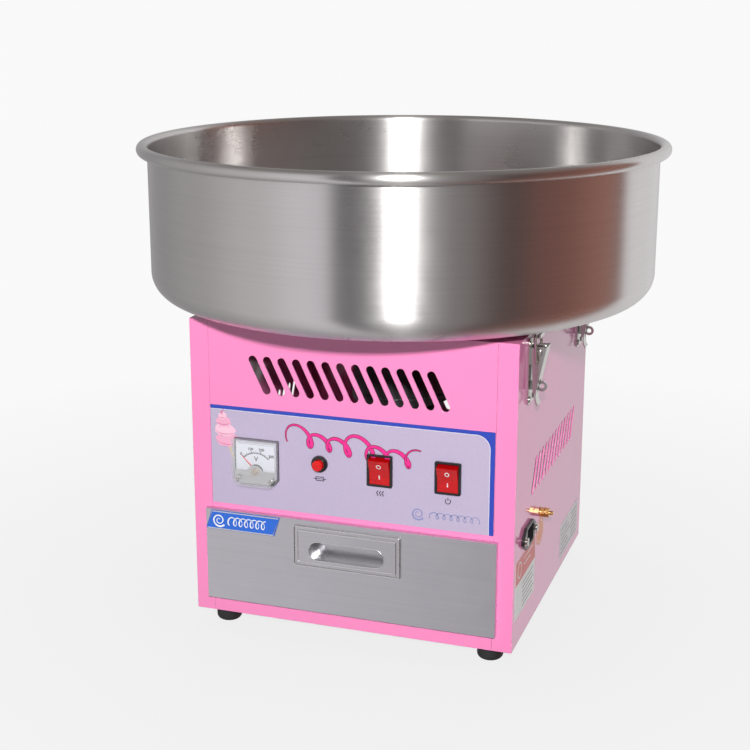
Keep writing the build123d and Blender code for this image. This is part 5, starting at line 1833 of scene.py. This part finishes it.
@dataclass
class MainsSide:
    """The right-hand side's inlet, bonding stud and labels."""

    body: str = "cabinet"
    label_thickness: float = 0.12
    ink_thickness: float = 0.03
    bar_width: float = 1.1
    oval_centre: Point = (-50.0, 97.0)
    oval_half: Point = (15.5, 13.6)
    ring_half: Point = (12.6, 10.8)
    caution_edges: tuple[float, float, float, float] = (-152.0, -69.5, 43.0, 101.5)
    caution_fold: float = 77.0
    plate_edges: tuple[float, float, float, float] = (52.0, 145.0, 26.0, 64.5)

    def build(self) -> None:
        """Dress the inlet and the stud, and stick the labels on."""
        dress(BLACK_PLASTIC, "power_inlet")
        dress(BRASS, "inlet_pins", "ground_stud", "ground_nuts")
        low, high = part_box("right_side_panel")
        self.face = right_face(high.x)
        self.oval_label()
        self.caution_label()
        self.rating_label()

    def bars(self, mesh: bmesh.types.BMesh, face: Face, rows: Sequence[tuple[float, float, float]]) -> None:
        """Plain bars in place of words.

        Args:
            mesh: what they are added to.
            face: the label's surface.
            rows: start, end and height of each, in millimetres.
        """
        for start, end, height in rows:
            ribbon(mesh, face, [(start, height), (end, height)], self.bar_width, self.ink_thickness)

    def oval_label(self) -> None:
        """An orange oval with a plain white ring."""
        mesh = bmesh.new()
        slab(mesh, self.face, oval(self.oval_centre, *self.oval_half), self.label_thickness)
        made_piece("oval_label", mesh, LABEL_ORANGE, self.body)
        mesh = bmesh.new()
        raised = self.face.raised(self.label_thickness)
        ribbon(mesh, raised, oval(self.oval_centre, *self.ring_half), 0.8, self.ink_thickness, closed=True)
        made_piece("oval_label_ring", mesh, LABEL_WHITE, self.body)

    def caution_label(self) -> None:
        """A red band over a white field, with plain bars."""
        left, right, bottom, top = self.caution_edges
        fold = self.caution_fold
        centre = ((left + right) / 2, (bottom + top) / 2)
        mesh = bmesh.new()
        slab(mesh, self.face, rounded_box(centre, right - left, top - bottom, 2.0), self.label_thickness)
        made_piece("lower_label", mesh, LABEL_WHITE, self.body)
        raised = self.face.raised(self.label_thickness)
        mesh = bmesh.new()
        band = (centre[0], (fold + top) / 2)
        band_outline = rounded_box(band, right - left - 2.0, top - fold - 1.0, 1.5)
        slab(mesh, raised, band_outline, self.ink_thickness)
        made_piece("lower_label_red_band", mesh, LABEL_RED, self.body)
        mesh = bmesh.new()
        rows = [(left + 30.0, right - 6.0 - 5.0 * (n % 2), fold - 6.0 - 4.6 * n) for n in range(6)]
        self.bars(mesh, raised, rows)
        made_piece("lower_label_bars", mesh, LABEL_TEXT, self.body)
        mesh = bmesh.new()
        on_band = raised.raised(self.ink_thickness)
        top_rows = [(left + 34.0, right - 10.0, top - 7.0), (left + 34.0, right - 22.0, top - 13.0)]
        self.bars(mesh, on_band, top_rows)
        ring = oval((left + 17.0, (fold + top) / 2), 7.5, 7.5, 32)
        ribbon(mesh, on_band, ring, 1.4, self.ink_thickness, closed=True)
        made_piece("lower_label_white_marks", mesh, LABEL_WHITE, self.body)

    def rating_label(self) -> None:
        """A pale grey plate with plain bars."""
        left, right, bottom, top = self.plate_edges
        centre = ((left + right) / 2, (bottom + top) / 2)
        mesh = bmesh.new()
        slab(mesh, self.face, rounded_box(centre, right - left, top - bottom, 2.0), self.label_thickness)
        made_piece("plate_label", mesh, LABEL_GREY, self.body)
        raised = self.face.raised(self.label_thickness)
        mesh = bmesh.new()
        heights = [top - 7.0 - 5.4 * n for n in range(6)]
        rows = [(left + 6.0, left + 38.0 + 9.0 * (n % 3), height) for n, height in enumerate(heights)]
        rows += [(left + 58.0, right - 6.0, height) for height in heights]
        self.bars(mesh, raised, rows)
        made_piece("plate_label_bars", mesh, LABEL_TEXT, self.body)


@dataclass
class Works:
    """What stands inside: motor, brushes, terminal block and leads."""

    def build(self) -> None:
        """Dress the works and the latches' rivets."""
        dress(MOTOR_IRON, "motor")
        dress(BLACK_RUBBER, "motor_mounts")
        dress(ZINC, "shaft_bearings", "latch_rivets")
        dress(BLACK_SATIN, "brush_holder")
        dress(CARBON, "carbon_brushes")
        dress(WHITE_PLASTIC, "terminal_block")
        dress(LEADS, "internal_leads")


@dataclass
class Studio:
    """A plain pale floor, soft lights and the camera."""

    lens: float = 70.1
    sensor: float = 36.0
    shift: Point = (0.0333, -0.0107)
    azimuth: float = 19.755
    elevation: float = 14.956
    roll: float = -0.202
    spot: tuple[float, float, float] = (0.43954, -1.37861, 0.62374)
    ambient: float = 0.07
    paper: float = 0.95
    floor_radius: float = 9.0
    fills: tuple[tuple[str, float, float, float], ...] = (
        ("left_fill", -100.0, 25.0, 16.0),
        ("right_fill", 102.0, 20.0, 9.0),
        ("rear_fill", 188.0, 30.0, 34.0),
    )
    fill_width: float = 1.6
    fill_distance: float = 2.6
    cabinet_middle: tuple[float, float, float] = (0.0, 0.0, 0.25)

    def build(self) -> None:
        """Set everything up."""
        self.camera()
        self.floor()
        self.surroundings()
        self.lights()
        bpy.context.scene.view_settings.view_transform = "Standard"

    def camera(self) -> None:
        """The camera, a little above the bowl's rim and to the right of the front."""
        data = bpy.data.cameras.new("studio_camera")
        data.lens = self.lens
        data.sensor_width = self.sensor
        data.shift_x, data.shift_y = self.shift
        data.clip_start = 0.01
        turn, tip = math.radians(self.azimuth), math.radians(self.elevation)
        back = Vector((math.sin(turn) * math.cos(tip), -math.cos(turn) * math.cos(tip), math.sin(tip)))
        right = (-back).cross(Vector((0.0, 0.0, 1.0))).normalized()
        up = right.cross(-back)
        roll = math.radians(self.roll)
        across = right * math.cos(roll) + up * math.sin(roll)
        above = up * math.cos(roll) - right * math.sin(roll)
        place = Matrix((across, above, back)).transposed().to_4x4()
        place.translation = Vector(self.spot)
        camera = bpy.data.objects.new("studio_camera", data)
        camera.matrix_world = place
        bpy.context.scene.collection.objects.link(camera)
        bpy.context.scene.camera = camera

    def floor(self) -> None:
        """A plain pale floor that mirrors don't see."""
        mesh = bmesh.new()
        low = CAD_BOX[0].z
        reach = self.floor_radius
        ring = [mesh.verts.new((reach * math.cos(a), reach * math.sin(a), low))
                for a in (2 * math.pi * n / 64 for n in range(64))]
        mesh.faces.new(ring)
        data = bpy.data.meshes.new("studio_floor")
        mesh.to_mesh(data)
        mesh.free()
        made = bpy.data.materials.new("finish_floor")
        made.use_nodes = True
        graph = Graph(made.node_tree)
        shader = made.node_tree.nodes["Principled BSDF"]
        tone = graph.range(graph.noise(graph.place(), 3.0), 0.3, 0.7, 0.0, 1.0)
        graph.feed(shader.inputs["Base Color"], graph.blend(tone, (0.34, 0.34, 0.34), (0.36, 0.36, 0.36)))
        graph.feed(shader.inputs["Roughness"], 0.7)
        graph.feed(shader.inputs["Specular IOR Level"], 0.0)
        far = graph.node("VectorMath", {0: graph.place()}, operation="LENGTH").outputs["Value"]
        share = graph.range(far, 0.2, 0.95, 0.86, 1.0)
        paper = graph.node("Emission", {"Color": rgba((self.paper,) * 3), "Strength": 1.0}).outputs[0]
        seen = graph.math("MULTIPLY", share, graph.node("LightPath").outputs["Is Camera Ray"])
        sweep = graph.node("MixShader", {0: seen, 1: shader.outputs[0], 2: paper}).outputs[0]
        graph.feed(made.node_tree.nodes["Material Output"].inputs["Surface"], sweep)
        data.materials.append(made)
        floor = bpy.data.objects.new("studio_floor", data)
        floor.visible_glossy = False
        bpy.context.scene.collection.objects.link(floor)

    def surroundings(self) -> None:
        """A studio's light and dark walls for the metal to mirror, plain pale to the camera."""
        world = bpy.data.worlds.new("studio")
        world.use_nodes = True
        world.node_tree.nodes.clear()
        graph = Graph(world.node_tree)
        parts = graph.node("SeparateXYZ", {0: graph.node("TexCoord").outputs["Generated"]})
        east, north, up = parts.outputs[0], parts.outputs[1], parts.outputs[2]
        turn = graph.math("ARCTAN2", east, graph.math("MULTIPLY", north, -1.0))
        share = graph.range(turn, -math.pi, math.pi, 0.0, 1.0)
        walls = graph.ramp(share, self.wall_tones())
        sky = graph.range(up, 0.45, 0.8, 0.0, 1.0)
        seen = graph.blend(sky, walls, (0.26, 0.24, 0.23))
        mirrored = graph.node("Background", {"Color": seen, "Strength": 1.0}).outputs[0]
        soft = graph.node("Background", {"Color": (1.0, 1.0, 1.0, 1.0), "Strength": self.ambient}).outputs[0]
        plain = graph.node("Background", {"Color": (0.95, 0.95, 0.95, 1.0), "Strength": 1.0}).outputs[0]
        path = graph.node("LightPath")
        glossy = path.outputs["Is Glossy Ray"]
        scattered = graph.node("MixShader", {0: glossy, 1: soft, 2: mirrored}).outputs[0]
        mixed = graph.node("MixShader", {0: path.outputs["Is Camera Ray"], 1: scattered, 2: plain}).outputs[0]
        graph.node("OutputWorld", {"Surface": mixed})
        bpy.context.scene.world = world

    def wall_tones(self) -> list[tuple[float, Colour]]:
        """The walls' tones by direction: share 0.5 is the front, and the right is above it."""
        degrees = (
            (-180, (0.66, 0.65, 0.65)),
            (-150, (0.42, 0.41, 0.42)),
            (-120, (0.36, 0.35, 0.36)),
            (-87, (0.46, 0.45, 0.455)),
            (-50, (0.66, 0.64, 0.65)),
            (-26, (0.82, 0.80, 0.84)),
            (-15, (0.78, 0.76, 0.80)),
            (-11, (0.16, 0.155, 0.16)),
            (0, (0.15, 0.14, 0.15)),
            (4, (0.26, 0.25, 0.26)),
            (11, (0.34, 0.33, 0.34)),
            (16, (0.5, 0.5, 0.5)),
            (21, (0.5, 0.5, 0.5)),
            (27, (0.33, 0.32, 0.32)),
            (42, (0.26, 0.24, 0.24)),
            (66, (0.12, 0.085, 0.08)),
            (84, (0.22, 0.105, 0.09)),
            (120, (0.36, 0.17, 0.135)),
            (129, (0.24, 0.13, 0.11)),
            (134, (0.88, 0.86, 0.87)),
            (165, (0.78, 0.77, 0.78)),
            (180, (0.66, 0.65, 0.65)),
        )
        return [((angle + 180) / 360, tone) for angle, tone in degrees]

    def lights(self) -> None:
        """A small key light above the camera and large soft fills."""
        self.lamp("key_light", self.around(16.8, 22.5, 2.4), (0.0, 0.0, 0.22), 0.13, 58.0, mirrored=True)
        for name, azimuth, elevation, power in self.fills:
            spot = self.around(azimuth, elevation, self.fill_distance)
            self.lamp(name, spot, self.cabinet_middle, self.fill_width, power)
        self.lamp("top_fill", (0.0, 0.3, 2.8), (0.0, 0.0, 0.2), 1.4, 2.5)

    def around(self, azimuth: float, elevation: float, distance: float) -> tuple[float, float, float]:
        """A point round the machine.

        Args:
            azimuth: degrees from the front towards the right.
            elevation: degrees above the level.
            distance: metres from the middle of the cabinet.

        Returns:
            The point, in metres.
        """
        turn, tip = math.radians(azimuth), math.radians(elevation)
        level = distance * math.cos(tip)
        height = self.cabinet_middle[2] + distance * math.sin(tip)
        return (level * math.sin(turn), -level * math.cos(turn), height)

    def lamp(
        self, name: str, spot: tuple[float, float, float], aim: tuple[float, float, float],
        width: float, power: float, mirrored: bool = False,
    ) -> None:
        """Place one square lamp.

        Args:
            name: its name.
            spot: where it is, in metres.
            aim: what it points at, in metres.
            width: how wide it is, in metres.
            power: its power, in watts.
            mirrored: whether glossy surfaces show it.
        """
        data = bpy.data.lights.new(name, "AREA")
        data.shape = "SQUARE"
        data.size = width
        data.energy = power
        lamp = bpy.data.objects.new(name, data)
        lamp.location = spot
        lamp.rotation_mode = "QUATERNION"
        lamp.rotation_quaternion = (Vector(aim) - Vector(spot)).to_track_quat("-Z", "Y")
        lamp.visible_glossy = mirrored
        bpy.context.scene.collection.objects.link(lamp)


def main() -> None:
    """Build the machine and the studio."""
    logging.basicConfig(level=logging.INFO, format="%(message)s")
    cabinet = Cabinet()
    cabinet.dress()
    cabinet.build()
    ControlPanel().build()
    Voltmeter().build()
    Switches().build()
    CatchDrawer().build()
    Bowl().build()
    SpinnerHead().build()
    for place, side in (("front_right", 1), ("rear_right", 1), ("front_left", -1), ("rear_left", -1)):
        ToggleLatch(place, side).build()
    MainsSide().build()
    Works().build()
    Studio().build()


if __name__ == "__main__":
    main()
